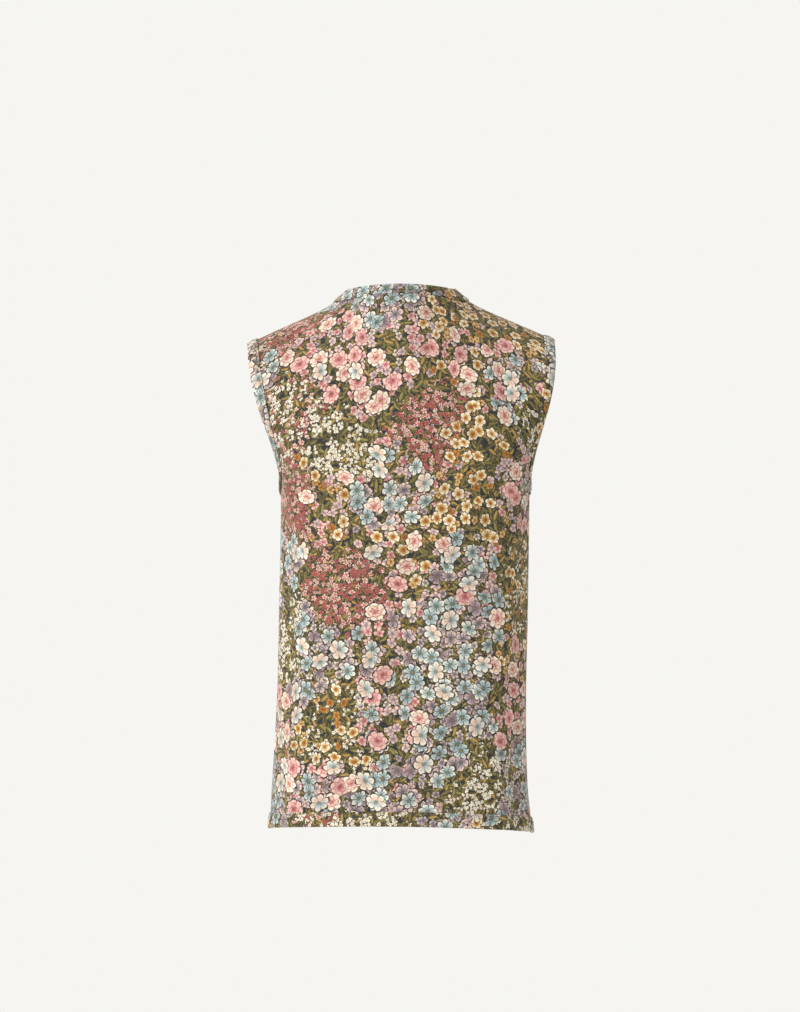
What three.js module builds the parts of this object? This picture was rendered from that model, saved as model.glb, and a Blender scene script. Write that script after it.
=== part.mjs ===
// A sleeveless waistcoat of floral tapestry cloth, open at neck, armholes and hem, with the
// shape it has when it is worn. Millimetres, +Z up, the front faces -Y and the wearer's left
// is +X. The origin lies midway between the two shoulder seams' inner ends, where the garment
// rests on its wearer.
//
// Every piece of cloth is cut from one smooth form. A place on the form has a face (BACK or
// FRONT), a share from the centre line (0) round to the side seam (1, or -1 on the wearer's
// right), and a rise from the hem (0) past the underarm (1) to the shoulder line (2).
import * as THREE from 'three';

// Cloth and seams. Panels lie just under the form, and bands just over it.
const clothThick = 1.6;
const seamGap = 0.3;
const bandGap = 0.6;
const panelLayer = { low: -clothThick, high: 0 };
const bandLayer = { low: bandGap, high: bandGap + clothThick };

// Heights and places of the cut
const underarmZ = -245;
const neckPointDrop = 195;
const napeRise = 3.4;
const neckX = 68;
const tipX = 196;

// Widths of the applied bands. The neck band widens from the nape to the shoulder seams.
const neckBandWidth = { nape: 12, shoulder: 24 };
const armholeBandWidth = 14;
const hemBandWidth = 17;
const frontBandWidth = 29;
const frontBandLap = 1;

// Buttons down the centre front
const buttonCount = 5;
const button = { radius: 8, thick: 3.2, rim: 1.3, dish: 0.5, round: 0.6, sides: 18 };
const firstButtonBelowPoint = 24;
const lastButtonAboveHem = 62;

const BACK = 1;
const FRONT = -1;

// Level sections of the body: half width, depth behind and before the shoulder line, how
// square the corners are, and how far the middle sways towards the wearer's left. The last
// row only sets how the cloth leaves the underarm.
const sections = [
  { z: -720, halfWidth: 172.5, back: 126, front: 121, square: 2.45, sway: 0.5 },
  { z: -680, halfWidth: 167.3, back: 122, front: 118, square: 2.45, sway: 0.5 },
  { z: -630, halfWidth: 163.5, back: 117, front: 114, square: 2.5, sway: 1.5 },
  { z: -540, halfWidth: 159.5, back: 111, front: 111, square: 2.55, sway: 0 },
  { z: -400, halfWidth: 159, back: 108, front: 113, square: 2.55, sway: -3.5 },
  { z: -310, halfWidth: 159, back: 111, front: 117, square: 2.7, sway: -5 },
  { z: -245, halfWidth: 159, back: 115, front: 120, square: 3.1, sway: -5 },
  { z: -190, halfWidth: 161, back: 120, front: 123, square: 3.9, sway: -5 },
];

// The hem's height at the centre of each face, its fall towards the sides, and how much
// higher it is on the wearer's left than in the middle.
const hem = {
  [BACK]: { centre: -673.3, fall: 16, tilt: 3 },
  [FRONT]: { centre: -682, fall: 7, tilt: 3 },
};

// The shoulder line, over which the cloth turns from back to front. It is a little lower on
// the wearer's left, and runs on past the tip, which the armholes cut off.
const shoulder = {
  endX: 245,
  atX: 192,
  atZ: -62.4,
  slope: 0.4426,
  smoothing: 40,
  neckFlare: 70.5,
  neckFlareWidth: 50,
  tilt: 0.0135,
  tipDroop: 2,
  tipSharpness: 16,
  forward: 9,
};

// How full the cloth stands between underarm and shoulder line, and how it swells out beside
// the armholes, where it stands clear of the arms' roots.
const fullness = { lift: 1.5, turn: 1.62, leastDepth: 78 };
const swell = { fromShare: 0.5, toShare: 0.78, peak: 0.47, out: 15.5, [BACK]: 17, [FRONT]: 13 };

// Armhole edges, from the underarm up to the shoulder's tip.
const tipShare = tipX / shoulder.endX;
const armhole = {
  [BACK]: [
    { share: 1, rise: 1 },
    { share: 0.93, rise: 1.008 },
    { share: 0.87, rise: 1.045 },
    { share: 0.825, rise: 1.12 },
    { share: 0.795, rise: 1.24 },
    { share: 0.777, rise: 1.4 },
    { share: 0.773, rise: 1.55 },
    { share: 0.78, rise: 1.7 },
    { share: 0.791, rise: 1.86 },
    { share: tipShare, rise: 2 },
  ],
  [FRONT]: [
    { share: 1, rise: 1 },
    { share: 0.93, rise: 1.008 },
    { share: 0.86, rise: 1.045 },
    { share: 0.805, rise: 1.12 },
    { share: 0.765, rise: 1.24 },
    { share: 0.745, rise: 1.4 },
    { share: 0.745, rise: 1.55 },
    { share: 0.76, rise: 1.7 },
    { share: 0.782, rise: 1.86 },
    { share: tipShare, rise: 2 },
  ],
};

// The largest soft folds: where each runs (share at its top and bottom), between which
// heights, how wide it is as a share, and how far it stands out (or in, below zero).
const folds = [
  { face: BACK, top: 0.8, bottom: 0.72, high: -215, low: -470, width: 0.07, depth: -3.4 },
  { face: BACK, top: -0.84, bottom: -0.7, high: -225, low: -520, width: 0.075, depth: -3.8 },
  { face: BACK, top: 0.05, bottom: 0.02, high: -330, low: -600, width: 0.3, depth: -4 },
  { face: BACK, top: 0.66, bottom: 0.6, high: -480, low: -700, width: 0.09, depth: 3 },
  { face: BACK, top: -0.5, bottom: -0.62, high: -500, low: -700, width: 0.1, depth: 3.2 },
  { face: BACK, top: -0.3, bottom: -0.24, high: -560, low: -700, width: 0.09, depth: -2.4 },
  { face: FRONT, top: 0.74, bottom: 0.56, high: -225, low: -500, width: 0.09, depth: -4 },
  { face: FRONT, top: -0.74, bottom: -0.6, high: -225, low: -480, width: 0.09, depth: -3.6 },
  { face: FRONT, top: 0.5, bottom: 0.58, high: -470, low: -700, width: 0.1, depth: 3.4 },
  { face: FRONT, top: -0.46, bottom: -0.5, high: -500, low: -700, width: 0.1, depth: 3 },
];

// How finely each piece is divided. Columns crowd towards the neck, where the cloth curves most.
const grid = {
  bodyRows: 13,
  yokeRows: 20,
  neckColumns: 9,
  shoulderColumns: 12,
  frontColumns: 16,
  crowding: 1.2,
  neckBand: { side: 28, across: 4 },
  armholeBand: { side: 28, across: 3 },
  hemBand: { side: 30, across: 1 },
  frontBand: { along: 36, across: 4 },
};

const mix = (a, b, t) => a + (b - a) * t;
const clamp = (t, low, high) => Math.min(high, Math.max(low, t));
const spread = (count, from = 0, to = 1) =>
  Array.from({ length: count + 1 }, (_, i) => mix(from, to, i / count));

function hermite(p0, m0, p1, m1, t) {
  const u = 1 - t;
  return p0 * (1 + 2 * t) * u * u + m0 * t * u * u + p1 * t * t * (3 - 2 * t) - m1 * t * t * u;
}

// A smooth curve through a table's rows: the named column at place t.
function smoothRow(table, key, column, t) {
  const last = table.length - 1;
  let i = 0;
  while (i < last - 1 && t > table[i + 1][key]) i += 1;
  const row = (n) => table[clamp(n, 0, last)];
  const [p1, p2] = [row(i), row(i + 1)];
  const span = p2[key] - p1[key];
  const slope = (a, b) => ((b[column] - a[column]) / (b[key] - a[key])) * span;
  const leave = slope(row(i - 1), p2);
  const arrive = slope(p1, row(i + 2));
  return hermite(p1[column], leave, p2[column], arrive, (t - p1[key]) / span);
}

// The value between low and high where a rising or falling function reaches a target.
function solve(f, target, low, high) {
  const falls = f(high) < f(low);
  for (let i = 0; i < 28; i += 1) {
    const middle = (low + high) / 2;
    if (f(middle) < target !== falls) low = middle;
    else high = middle;
  }
  return (low + high) / 2;
}

// A quarter of a squared ellipse, as points at equal lengths from the middle to the side.
const outlineSteps = 160;
function outline(halfWidth, depth, square) {
  const points = [];
  let length = 0;
  for (const angle of spread(2 * outlineSteps, 0, Math.PI / 2)) {
    const across = Math.sin(angle) / halfWidth;
    const along = Math.max(Math.cos(angle), 0) / depth;
    const radius = (across ** square + along ** square) ** (-1 / square);
    const [x, y] = [radius * Math.sin(angle), radius * Math.cos(angle)];
    const last = points.at(-1) ?? { x, y };
    length += Math.hypot(x - last.x, y - last.y);
    points.push({ x, y, length });
  }
  let i = 1;
  return spread(outlineSteps, 0, length).map((wanted) => {
    while (i < points.length - 1 && points[i].length < wanted) i += 1;
    const t = (wanted - points[i - 1].length) / (points[i].length - points[i - 1].length);
    return { x: mix(points[i - 1].x, points[i].x, t), y: mix(points[i - 1].y, points[i].y, t) };
  });
}

const outlines = {
  [BACK]: sections.map(({ halfWidth, back, square }) => outline(halfWidth, back, square)),
  [FRONT]: sections.map(({ halfWidth, front, square }) => outline(halfWidth, front, square)),
};

// The body at height z, at a share of the way round one face.
function sectionPoint(face, share, z) {
  const place = Math.abs(share) * outlineSteps;
  const i = Math.min(Math.floor(place), outlineSteps - 1);
  const rows = sections.map((section, n) => {
    const [a, b] = [outlines[face][n][i], outlines[face][n][i + 1]];
    const x = Math.sign(share) * mix(a.x, b.x, place - i) + section.sway;
    return { z: section.z, x, y: face * mix(a.y, b.y, place - i) };
  });
  return new THREE.Vector3(smoothRow(rows, 'z', 'x', z), smoothRow(rows, 'z', 'y', z), z);
}

function hemZ(face, share) {
  const { centre, fall, tilt } = hem[face];
  return centre - fall * share * share + tilt * share;
}

// The shoulder line at a share out from the neck.
function shoulderPoint(share) {
  const x = share * shoulder.endX;
  const rounded = (d) => Math.hypot(d, shoulder.smoothing);
  const slope = shoulder.slope * (rounded(shoulder.atX) - rounded(x));
  const flare = shoulder.neckFlare * Math.exp(-((x / shoulder.neckFlareWidth) ** 2));
  const droop = shoulder.tipDroop * Math.min(Math.abs(x) / tipX, 1.1) ** shoulder.tipSharpness;
  const z = shoulder.atZ + slope + flare - droop - shoulder.tilt * x;
  return new THREE.Vector3(x, -shoulder.forward * (x / tipX) ** 2, z);
}

function foldDepth(face, share, z) {
  let depth = 0;
  for (const fold of folds) {
    if (fold.face !== face) continue;
    const t = clamp((fold.high - z) / (fold.high - fold.low), 0, 1);
    const fade = Math.sin(Math.PI * Math.min(t, 0.5)) ** 2;
    depth += fold.depth * fade * Math.exp(-(((share - mix(fold.top, fold.bottom, t)) / fold.width) ** 2));
  }
  return depth;
}

// The plain form, before the folds. Past a side seam or the shoulder line it runs on round
// the other face.
const slopeStep = 6;
function plainPoint(face, share, rise) {
  if (Math.abs(share) > 1) return plainPoint(-face, Math.sign(share) * (2 - Math.abs(share)), rise);
  if (rise > 2) return plainPoint(-face, share, 4 - rise);
  if (rise <= 1) return sectionPoint(face, share, mix(hemZ(face, share), underarmZ, rise));
  const low = sectionPoint(face, share, underarmZ);
  const high = shoulderPoint(share);
  const leave = sectionPoint(face, share, underarmZ + slopeStep)
    .sub(sectionPoint(face, share, underarmZ - slopeStep))
    .multiplyScalar((fullness.lift * (high.z - low.z)) / (2 * slopeStep));
  const arriveY = -face * fullness.turn * Math.max(Math.abs(low.y), fullness.leastDepth);
  const swelling = swellAt(Math.abs(share), rise - 1);
  return new THREE.Vector3(
    hermite(low.x, leave.x, high.x, 0, rise - 1) + Math.sign(share) * swell.out * swelling,
    hermite(low.y, leave.y, high.y, arriveY, rise - 1) + face * swell[face] * swelling,
    hermite(low.z, leave.z, high.z, 0, rise - 1),
  );
}

// From 0 to 1: full beside the armholes, part of the way up the yoke.
function swellAt(share, t) {
  const { fromShare, toShare, peak } = swell;
  const beside = THREE.MathUtils.smoothstep(share, fromShare, toShare);
  return beside * (t / peak) ** 2 * ((1 - t) / (1 - peak)) ** ((2 * (1 - peak)) / peak);
}

const turnStep = 0.004;
function outward(pointAt, face, share, rise) {
  const across = pointAt(face, share + turnStep, rise).sub(pointAt(face, share - turnStep, rise));
  const up = pointAt(face, share, rise + turnStep).sub(pointAt(face, share, rise - turnStep));
  return up.cross(across).multiplyScalar(face).normalize();
}

// The cloth's outer face: the plain form with its folds.
function formPoint(face, share, rise) {
  const point = plainPoint(face, share, rise);
  const depth = foldDepth(face, share, point.z);
  return depth ? point.addScaledVector(outward(plainPoint, face, share, rise), depth) : point;
}

const pointOf = ({ face, share, rise }) => formPoint(face, share, rise);
const normalOf = ({ face, share, rise }) => outward(formPoint, face, share, rise);
const lifted = (place, height) => pointOf(place).addScaledVector(normalOf(place), height);

// The place that lies a distance from another over the cloth, in a direction.
const walkSteps = 3;
function walk({ face, share, rise }, direction, distance) {
  for (let i = 0; i < walkSteps; i += 1) {
    const a = formPoint(face, share + turnStep, rise).sub(formPoint(face, share - turnStep, rise));
    const b = formPoint(face, share, rise + turnStep).sub(formPoint(face, share, rise - turnStep));
    const along = direction.clone().projectOnPlane(a.clone().cross(b).normalize());
    along.setLength((2 * turnStep * distance) / walkSteps);
    const [aa, ab, bb] = [a.dot(a), a.dot(b), b.dot(b)];
    const [pa, pb] = [along.dot(a), along.dot(b)];
    share += (pa * bb - pb * ab) / (aa * bb - ab * ab);
    rise += (pb * aa - pa * ab) / (aa * bb - ab * ab);
  }
  return { face, share, rise };
}

// Places at a given distance x from the middle of the front.
function frontPlaceAtX(x, rise) {
  const share = solve((s) => formPoint(FRONT, s, rise).x, x, -0.5, 0.5);
  return { face: FRONT, share, rise };
}

// The height of the neck's line on the front, at a distance out from the middle. The line
// falls straight to its point, and below the point it runs on past the middle.
const neckLineZ = (out) => -neckPointDrop * (1 - out / neckX);

// Where the neck's line passes a distance out from the middle, on one side.
function neckLinePlace(side, out) {
  const height = (rise) => pointOf(frontPlaceAtX(side * out, rise)).z;
  return frontPlaceAtX(side * out, solve(height, neckLineZ(out), 0.7, 1.95));
}

// The front's neck edge on one side, with t from a given place (0) to the shoulder seam (1).
function frontNeckEdge(side, start, t) {
  const rise = mix(start.rise, 2, t);
  if (t === 0) return start;
  const beyond = (share) => {
    const { x, z } = formPoint(FRONT, side * share, rise);
    return side * x - neckX * (1 + z / neckPointDrop);
  };
  const neckShare = neckX / shoulder.endX;
  const share = t === 1 ? neckShare : solve(beyond, 0, -neckShare, 2 * neckShare);
  return { face: FRONT, share: side * share, rise };
}

// The back's neck edge, with t from the centre (0) to the shoulder seam (1). It is round, and
// runs straight forward where it meets the seam.
function backNeckEdge(side, t) {
  const out = Math.sin((t * Math.PI) / 2);
  const share = (side * out * neckX) / shoulder.endX;
  const height = (rise) => formPoint(BACK, share, rise).z;
  return { face: BACK, share, rise: t === 1 ? 2 : solve(height, napeRise * (1 - out * out), 1, 2) };
}

// An armhole's edge on one face, with t from the underarm (0) to the shoulder's tip (1).
function armholeEdge(face, side, t) {
  const points = armhole[face].map(({ share, rise }) => new THREE.Vector3(share, rise, 0));
  const { x, y } = new THREE.CatmullRomCurve3(points, false, 'centripetal').getPoint(t);
  return { face, share: side * Math.min(1, x), rise: clamp(y, 1, 2) };
}

function volume(positions, faces) {
  const corner = (n) => new THREE.Vector3().fromArray(positions, 3 * faces[n]);
  let sum = 0;
  for (let i = 0; i < faces.length; i += 3) {
    sum += corner(i).dot(corner(i + 1).cross(corner(i + 2)));
  }
  return sum / 6;
}

function meshOf(name, positions, faces, material) {
  const geometry = new THREE.BufferGeometry();
  geometry.setAttribute('position', new THREE.Float32BufferAttribute(positions, 3));
  geometry.setIndex(volume(positions, faces) < 0 ? faces.reverse() : faces);
  const mesh = new THREE.Mesh(geometry, material);
  mesh.name = name;
  return mesh;
}

// A closed wall over a table of places, through one layer's thickness. In a ring the last
// row joins the first. Each quad is split along its shorter diagonal.
function wall(name, places, layer, material, ring = false) {
  const rows = places.length;
  const columns = places[0].length;
  const positions = [layer.high, layer.low].flatMap((height) =>
    places.flat().flatMap((place) => lifted(place, height).toArray()),
  );
  const corner = (n) => new THREE.Vector3().fromArray(positions, 3 * n);
  const faces = [];
  const quad = (a, b, c, d) => {
    const short = corner(a).distanceTo(corner(c)) < corner(b).distanceTo(corner(d));
    faces.push(...(short ? [a, b, c, a, c, d] : [a, b, d, b, c, d]));
  };
  const outer = (i, j) => (i % rows) * columns + j;
  const inner = (i, j) => rows * columns + outer(i, j);
  for (let i = 0; i < (ring ? rows : rows - 1); i += 1) {
    for (let j = 0; j < columns - 1; j += 1) {
      quad(outer(i, j), outer(i + 1, j), outer(i + 1, j + 1), outer(i, j + 1));
      quad(inner(i, j), inner(i, j + 1), inner(i + 1, j + 1), inner(i + 1, j));
    }
    const end = columns - 1;
    quad(outer(i, 0), inner(i, 0), inner(i + 1, 0), outer(i + 1, 0));
    quad(outer(i, end), outer(i + 1, end), inner(i + 1, end), inner(i, end));
  }
  for (let j = 0; !ring && j < columns - 1; j += 1) {
    const end = rows - 1;
    quad(outer(0, j), outer(0, j + 1), inner(0, j + 1), inner(0, j));
    quad(outer(end, j), inner(end, j), inner(end, j + 1), outer(end, j + 1));
  }
  return meshOf(name, positions, faces, material);
}

// Fills a piece of the cut between its four edges. Each edge gives a share and a rise.
function fill(face, side, edges, columns, rows) {
  const bottom = columns.map(edges.bottom);
  const top = columns.map(edges.top);
  const left = rows.map(edges.left);
  const right = rows.map(edges.right);
  const blend = (key, u, v, i, j) => {
    const below = mix(bottom[0][key], bottom.at(-1)[key], u);
    const above = mix(top[0][key], top.at(-1)[key], u);
    const across = mix(left[i][key], right[i][key], u);
    return across + mix(bottom[j][key] - below, top[j][key] - above, v);
  };
  return rows.map((v, i) =>
    columns.map((u, j) => ({
      face,
      share: side * blend('share', u, v, i, j),
      rise: blend('rise', u, v, i, j),
    })),
  );
}

// The panels stop half a seam's gap short of the side seam and the shoulder line.
const sideLength = 235;
const shoulderDepth = 160;
const seamShare = 1 - seamGap / 2 / sideLength;
const seamRise = 2 - seamGap / 2 / shoulderDepth;
const panelRows = grid.bodyRows + grid.yokeRows;
const underarmRow = grid.bodyRows / panelRows;
const unsigned = (side, { share, rise }) => ({ share: side * share, rise: Math.min(rise, seamRise) });
const shoulderSeam = (x) => ({ share: x / shoulder.endX, rise: seamRise });

function outerEdge(face, v) {
  if (v <= underarmRow) return { share: seamShare, rise: v / underarmRow };
  const { share, rise } = armholeEdge(face, 1, (v - underarmRow) / (1 - underarmRow));
  return { share: Math.min(share, seamShare), rise: Math.min(rise, seamRise) };
}

// Materials
const cloth = new THREE.MeshStandardMaterial({ color: 0x8b8264, roughness: 0.92, metalness: 0 });
const bandCloth = new THREE.MeshStandardMaterial({ color: 0x948a6e, roughness: 0.92, metalness: 0 });
const horn = new THREE.MeshStandardMaterial({ color: 0x3a2a20, roughness: 0.38, metalness: 0 });

// The back, cut in one: each half runs from the centre line to the side seam and armhole.
function backHalf(side) {
  const neckEnd = neckX / tipX;
  const shoulderColumns = spread(grid.shoulderColumns).map((t) =>
    mix(neckEnd, 1, t ** grid.crowding),
  );
  const columns = [...spread(grid.neckColumns, 0, neckEnd), ...shoulderColumns.slice(1)];
  const topRise = backNeckEdge(side, 0).rise;
  const edges = {
    bottom: (u) => ({ share: u * seamShare, rise: 0 }),
    top: (u) =>
      u < neckEnd ? unsigned(side, backNeckEdge(side, u / neckEnd)) : shoulderSeam(u * tipX),
    left: (v) => ({ share: 0, rise: v * topRise }),
    right: (v) => outerEdge(BACK, v),
  };
  return fill(BACK, side, edges, columns, spread(panelRows));
}

function backPanel() {
  const other = backHalf(-1);
  const places = backHalf(1).map((row, i) => [...other[i].slice(1).reverse(), ...row]);
  return wall('back', places, panelLayer, cloth);
}

// A front runs from its centre edge and neck edge to its side seam and armhole. Both centre
// edges lie under the front band, on the wearer's left of the middle.
function frontPanel(name, side, centreOut) {
  const neckStart = neckLinePlace(side, centreOut);
  const centreEdge = (rise) => unsigned(side, frontPlaceAtX(side * centreOut, rise));
  const pointRow =
    underarmRow * Math.min(neckStart.rise, 1) + (1 - underarmRow) * Math.max(neckStart.rise - 1, 0);
  const edges = {
    bottom: (u) => ({ share: mix(centreEdge(0).share, seamShare, u), rise: 0 }),
    top: (u) => shoulderSeam(mix(neckX, tipX, u)),
    left: (v) =>
      v <= pointRow
        ? centreEdge((v / pointRow) * neckStart.rise)
        : unsigned(side, frontNeckEdge(side, neckStart, (v - pointRow) / (1 - pointRow))),
    right: (v) => outerEdge(FRONT, v),
  };
  const rows = spread(panelRows);
  rows[Math.round(pointRow * panelRows)] = pointRow;
  const columns = spread(grid.frontColumns).map((t) => t ** grid.crowding);
  return wall(name, fill(FRONT, side, edges, columns, rows), panelLayer, cloth);
}

// A band along an edge of the cloth, from the edge in to the width that it has there. The
// edge runs so that the cloth is on its left, seen from outside. An end may be cut along a
// direction of its own, into which the rows of places lean over a short stretch.
const leanLength = 110;
function bandPlaces(edge, widthAt, divisions, { ring = false, startCut, endCut } = {}) {
  const count = edge.length;
  const points = edge.map(pointOf);
  const lengths = [0];
  for (let i = 1; i < count; i += 1) lengths.push(lengths[i - 1] + points[i].distanceTo(points[i - 1]));
  const frameAt = (i) => {
    const before = points[ring ? (i + count - 1) % count : Math.max(0, i - 1)];
    const after = points[ring ? (i + 1) % count : Math.min(count - 1, i + 1)];
    const along = after.clone().sub(before).normalize();
    return { along, inwards: normalOf(edge[i]).cross(along).normalize() };
  };
  const leanOf = (cut, i) => (cut ? cut.dot(frameAt(i).along) / cut.dot(frameAt(i).inwards) : 0);
  const [startLean, endLean] = [leanOf(startCut, 0), leanOf(endCut, count - 1)];
  const fade = (i, end) => Math.max(0, 1 - Math.abs(lengths[i] - lengths[end]) / leanLength);
  return edge.map((place, i) => {
    const { along, inwards } = frameAt(i);
    const lean = startLean * fade(i, 0) + endLean * fade(i, count - 1);
    const across = inwards.addScaledVector(along, lean).multiplyScalar(widthAt(place));
    return spread(divisions).map((t) => (t ? walk(place, across, t * across.length()) : place));
  });
}

function armholeBand(name, side) {
  const turns = spread(grid.armholeBand.side);
  const behind = turns.map((t) => armholeEdge(BACK, side, t));
  const before = turns.map((t) => armholeEdge(FRONT, side, t)).reverse();
  const edge = [...behind, ...before.slice(1, -1)];
  if (side > 0) edge.reverse();
  const places = bandPlaces(edge, () => armholeBandWidth, grid.armholeBand.across, { ring: true });
  return wall(name, places, bandLayer, bandCloth, true);
}

// The neck band starts at the slanted top of the front band, where it is mitred, and runs
// round the neck to the front band's left side.
const frontBandEdge = frontBandWidth / 2 + seamGap;
function neckBand() {
  const turns = spread(grid.neckBand.side);
  const nape = spread(2 * grid.neckColumns, -1, 1).slice(1, -1);
  const [rightStart, leftStart] = [neckLinePlace(-1, seamGap), neckLinePlace(1, frontBandEdge)];
  const edge = [
    ...turns.map((t) => frontNeckEdge(-1, rightStart, t)),
    ...nape.map((t) => backNeckEdge(Math.sign(t) || 1, Math.abs(t))),
    ...turns.map((t) => frontNeckEdge(1, leftStart, t)).reverse(),
  ];
  const alongMitre = new THREE.Vector3(-neckX, 0, -neckPointDrop);
  const down = new THREE.Vector3(0, 0, -1);
  const widthAt = ({ face, share }) => {
    const { nape: least, shoulder: most } = neckBandWidth;
    return face === FRONT ? most : mix(least, most, ((share * shoulder.endX) / neckX) ** 4);
  };
  const cuts = { startCut: alongMitre, endCut: down };
  const places = bandPlaces(edge, widthAt, grid.neckBand.across, cuts);
  return wall('neck_band', places, bandLayer, bandCloth);
}

function hemBand() {
  const start = frontPlaceAtX(frontBandEdge, 0).share;
  const end = frontPlaceAtX(-frontBandEdge, 0).share;
  const { side, across } = grid.hemBand;
  const edge = [
    ...spread(side, start, 1).map((share) => ({ face: FRONT, share, rise: 0 })),
    ...spread(2 * side, 1, -1).slice(1, -1).map((share) => ({ face: BACK, share, rise: 0 })),
    ...spread(side, -1, end).map((share) => ({ face: FRONT, share, rise: 0 })),
  ];
  return wall('hem_band', bandPlaces(edge, () => hemBandWidth, across), bandLayer, bandCloth);
}

// The front band is sewn down the left front and laps over the right. Its top carries on the
// slant of the left front's neck edge.
function frontBand() {
  const half = frontBandWidth / 2;
  const { along, across } = grid.frontBand;
  const tops = spread(across, -half, half).map((x) => ({ x, rise: neckLinePlace(1, x).rise }));
  const places = spread(along).map((v) => tops.map(({ x, rise }) => frontPlaceAtX(x, v * rise)));
  return wall('front_band', places, bandLayer, bandCloth);
}

// A dished button with a rounded rim, on the front band.
function buttonAt(name, z) {
  const { radius, thick, rim, dish, round, sides } = button;
  const profile = [
    [0, 0],
    [radius - round, 0],
    [radius, round],
    [radius, thick - round],
    [radius - round, thick],
    [radius - rim, thick],
    [radius - rim - dish, thick - dish],
    [0, thick - dish],
  ].map(([x, y]) => new THREE.Vector2(x, y));
  const geometry = new THREE.LatheGeometry(profile, sides);
  const rise = solve((r) => pointOf(frontPlaceAtX(0, r)).z, z, 0, 1.6);
  const place = frontPlaceAtX(0, rise);
  const mesh = new THREE.Mesh(geometry, horn);
  mesh.name = name;
  mesh.position.copy(lifted(place, bandLayer.high + seamGap));
  mesh.quaternion.setFromUnitVectors(new THREE.Vector3(0, 1, 0), normalOf(place));
  return mesh;
}

function buttons() {
  const top = -neckPointDrop - firstButtonBelowPoint;
  const bottom = hem[FRONT].centre + lastButtonAboveHem;
  return spread(buttonCount - 1, top, bottom).map((z, i) => buttonAt(`button_${i + 1}`, z));
}

const leftCentreOut = frontBandWidth / 2 - frontBandLap;
const rightCentreOut = seamGap - leftCentreOut;

const waistcoat = new THREE.Group();
waistcoat.add(
  backPanel(),
  frontPanel('front_left', 1, leftCentreOut),
  frontPanel('front_right', -1, rightCentreOut),
  neckBand(),
  armholeBand('armhole_band_left', 1),
  armholeBand('armhole_band_right', -1),
  hemBand(),
  frontBand(),
  ...buttons(),
);
export default waistcoat;
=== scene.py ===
import math

import bpy
import numpy as np
from mathutils import Matrix, Vector


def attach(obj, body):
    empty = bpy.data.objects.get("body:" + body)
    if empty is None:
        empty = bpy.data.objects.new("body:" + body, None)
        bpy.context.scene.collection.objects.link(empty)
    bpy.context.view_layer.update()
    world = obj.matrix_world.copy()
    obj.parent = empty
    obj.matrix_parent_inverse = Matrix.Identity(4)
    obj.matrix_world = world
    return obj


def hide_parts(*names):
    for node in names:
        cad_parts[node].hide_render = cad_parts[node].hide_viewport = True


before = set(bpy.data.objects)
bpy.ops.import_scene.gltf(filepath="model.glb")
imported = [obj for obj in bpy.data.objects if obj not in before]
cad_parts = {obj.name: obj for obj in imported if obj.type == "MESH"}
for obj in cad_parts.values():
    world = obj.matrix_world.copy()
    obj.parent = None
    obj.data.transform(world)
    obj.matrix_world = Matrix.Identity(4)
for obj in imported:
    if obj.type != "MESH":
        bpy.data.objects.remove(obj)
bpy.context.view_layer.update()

scene = bpy.context.scene
mm = 0.001

# Camera: level with the middle of the back, at a portrait lens's distance
shot = {
    "distance": 4.5,       # metres behind the garment
    "height": -0.2752,
    "aside": 0.00128,      # one image pixel off the middle
    "mmPerPixel": 1.28,    # at the shoulders
    "imageHeight": 1012,
    "sensor": 36.0,
}


def makeCamera():
    data = bpy.data.cameras.new("camera")
    data.sensor_width = shot["sensor"]
    data.lens = shot["sensor"] * shot["distance"] / (shot["imageHeight"] * shot["mmPerPixel"] * mm)
    data.clip_end = 60
    made = bpy.data.objects.new("camera", data)
    made.location = (shot["aside"], shot["distance"], shot["height"])
    made.rotation_euler = (math.pi / 2, 0, math.pi)
    scene.collection.objects.link(made)
    scene.camera = made


def linearColour(code, alpha=1.0):
    parts = [int(code[i:i + 2], 16) / 255 for i in (1, 3, 5)]
    return [c / 12.92 if c <= 0.04045 else ((c + 0.055) / 1.055) ** 2.4 for c in parts] + [alpha]


# Adds a node with its settings and links, and gives one of its outputs. Inputs go by name or in
# order, which for a map range is the value, the range from and the range to. A ramp's stops are
# (position, hex, alpha).
def addNode(tree, kind, inputs=(), output=0, stops=(), **settings):
    made = tree.nodes.new("ShaderNode" + kind)
    for key, value in settings.items():
        setattr(made, key, value)
    for key, value in inputs.items() if isinstance(inputs, dict) else enumerate(inputs):
        if isinstance(value, bpy.types.NodeSocket):
            tree.links.new(value, made.inputs[key])
        else:
            made.inputs[key].default_value = value
    if stops:
        elements = made.color_ramp.elements
        while len(elements) < len(stops):
            elements.new(0.5)
        for element, (position, code, alpha) in zip(elements, stops):
            element.position = position
            element.color = linearColour(code, alpha)
    return made.outputs[output] if len(made.outputs) else made


def newMaterial(name):
    made = bpy.data.materials.new(name)
    made.use_nodes = True
    made.node_tree.nodes.clear()
    return made, made.node_tree


def finishMaterial(tree, shader):
    addNode(tree, "OutputMaterial", {"Surface": shader})


# Points (x, y) round a circle
def circle(radius, sides):
    turns = [2 * math.pi * k / sides for k in range(sides)]
    return [(radius * math.cos(a), radius * math.sin(a)) for a in turns]


# Faces between rings of points that follow each other, each ring joined round on itself
def ringFaces(rings, sides, start=0, closed=False, flipped=False):
    faces = []
    for i in range(rings if closed else rings - 1):
        a, b = start + i * sides, start + (i + 1) % rings * sides
        for j in range(sides):
            k = (j + 1) % sides
            faces.append([a + j, a + k, b + k, b + j] if flipped else [a + j, b + j, b + k, a + k])
    return faces


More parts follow.
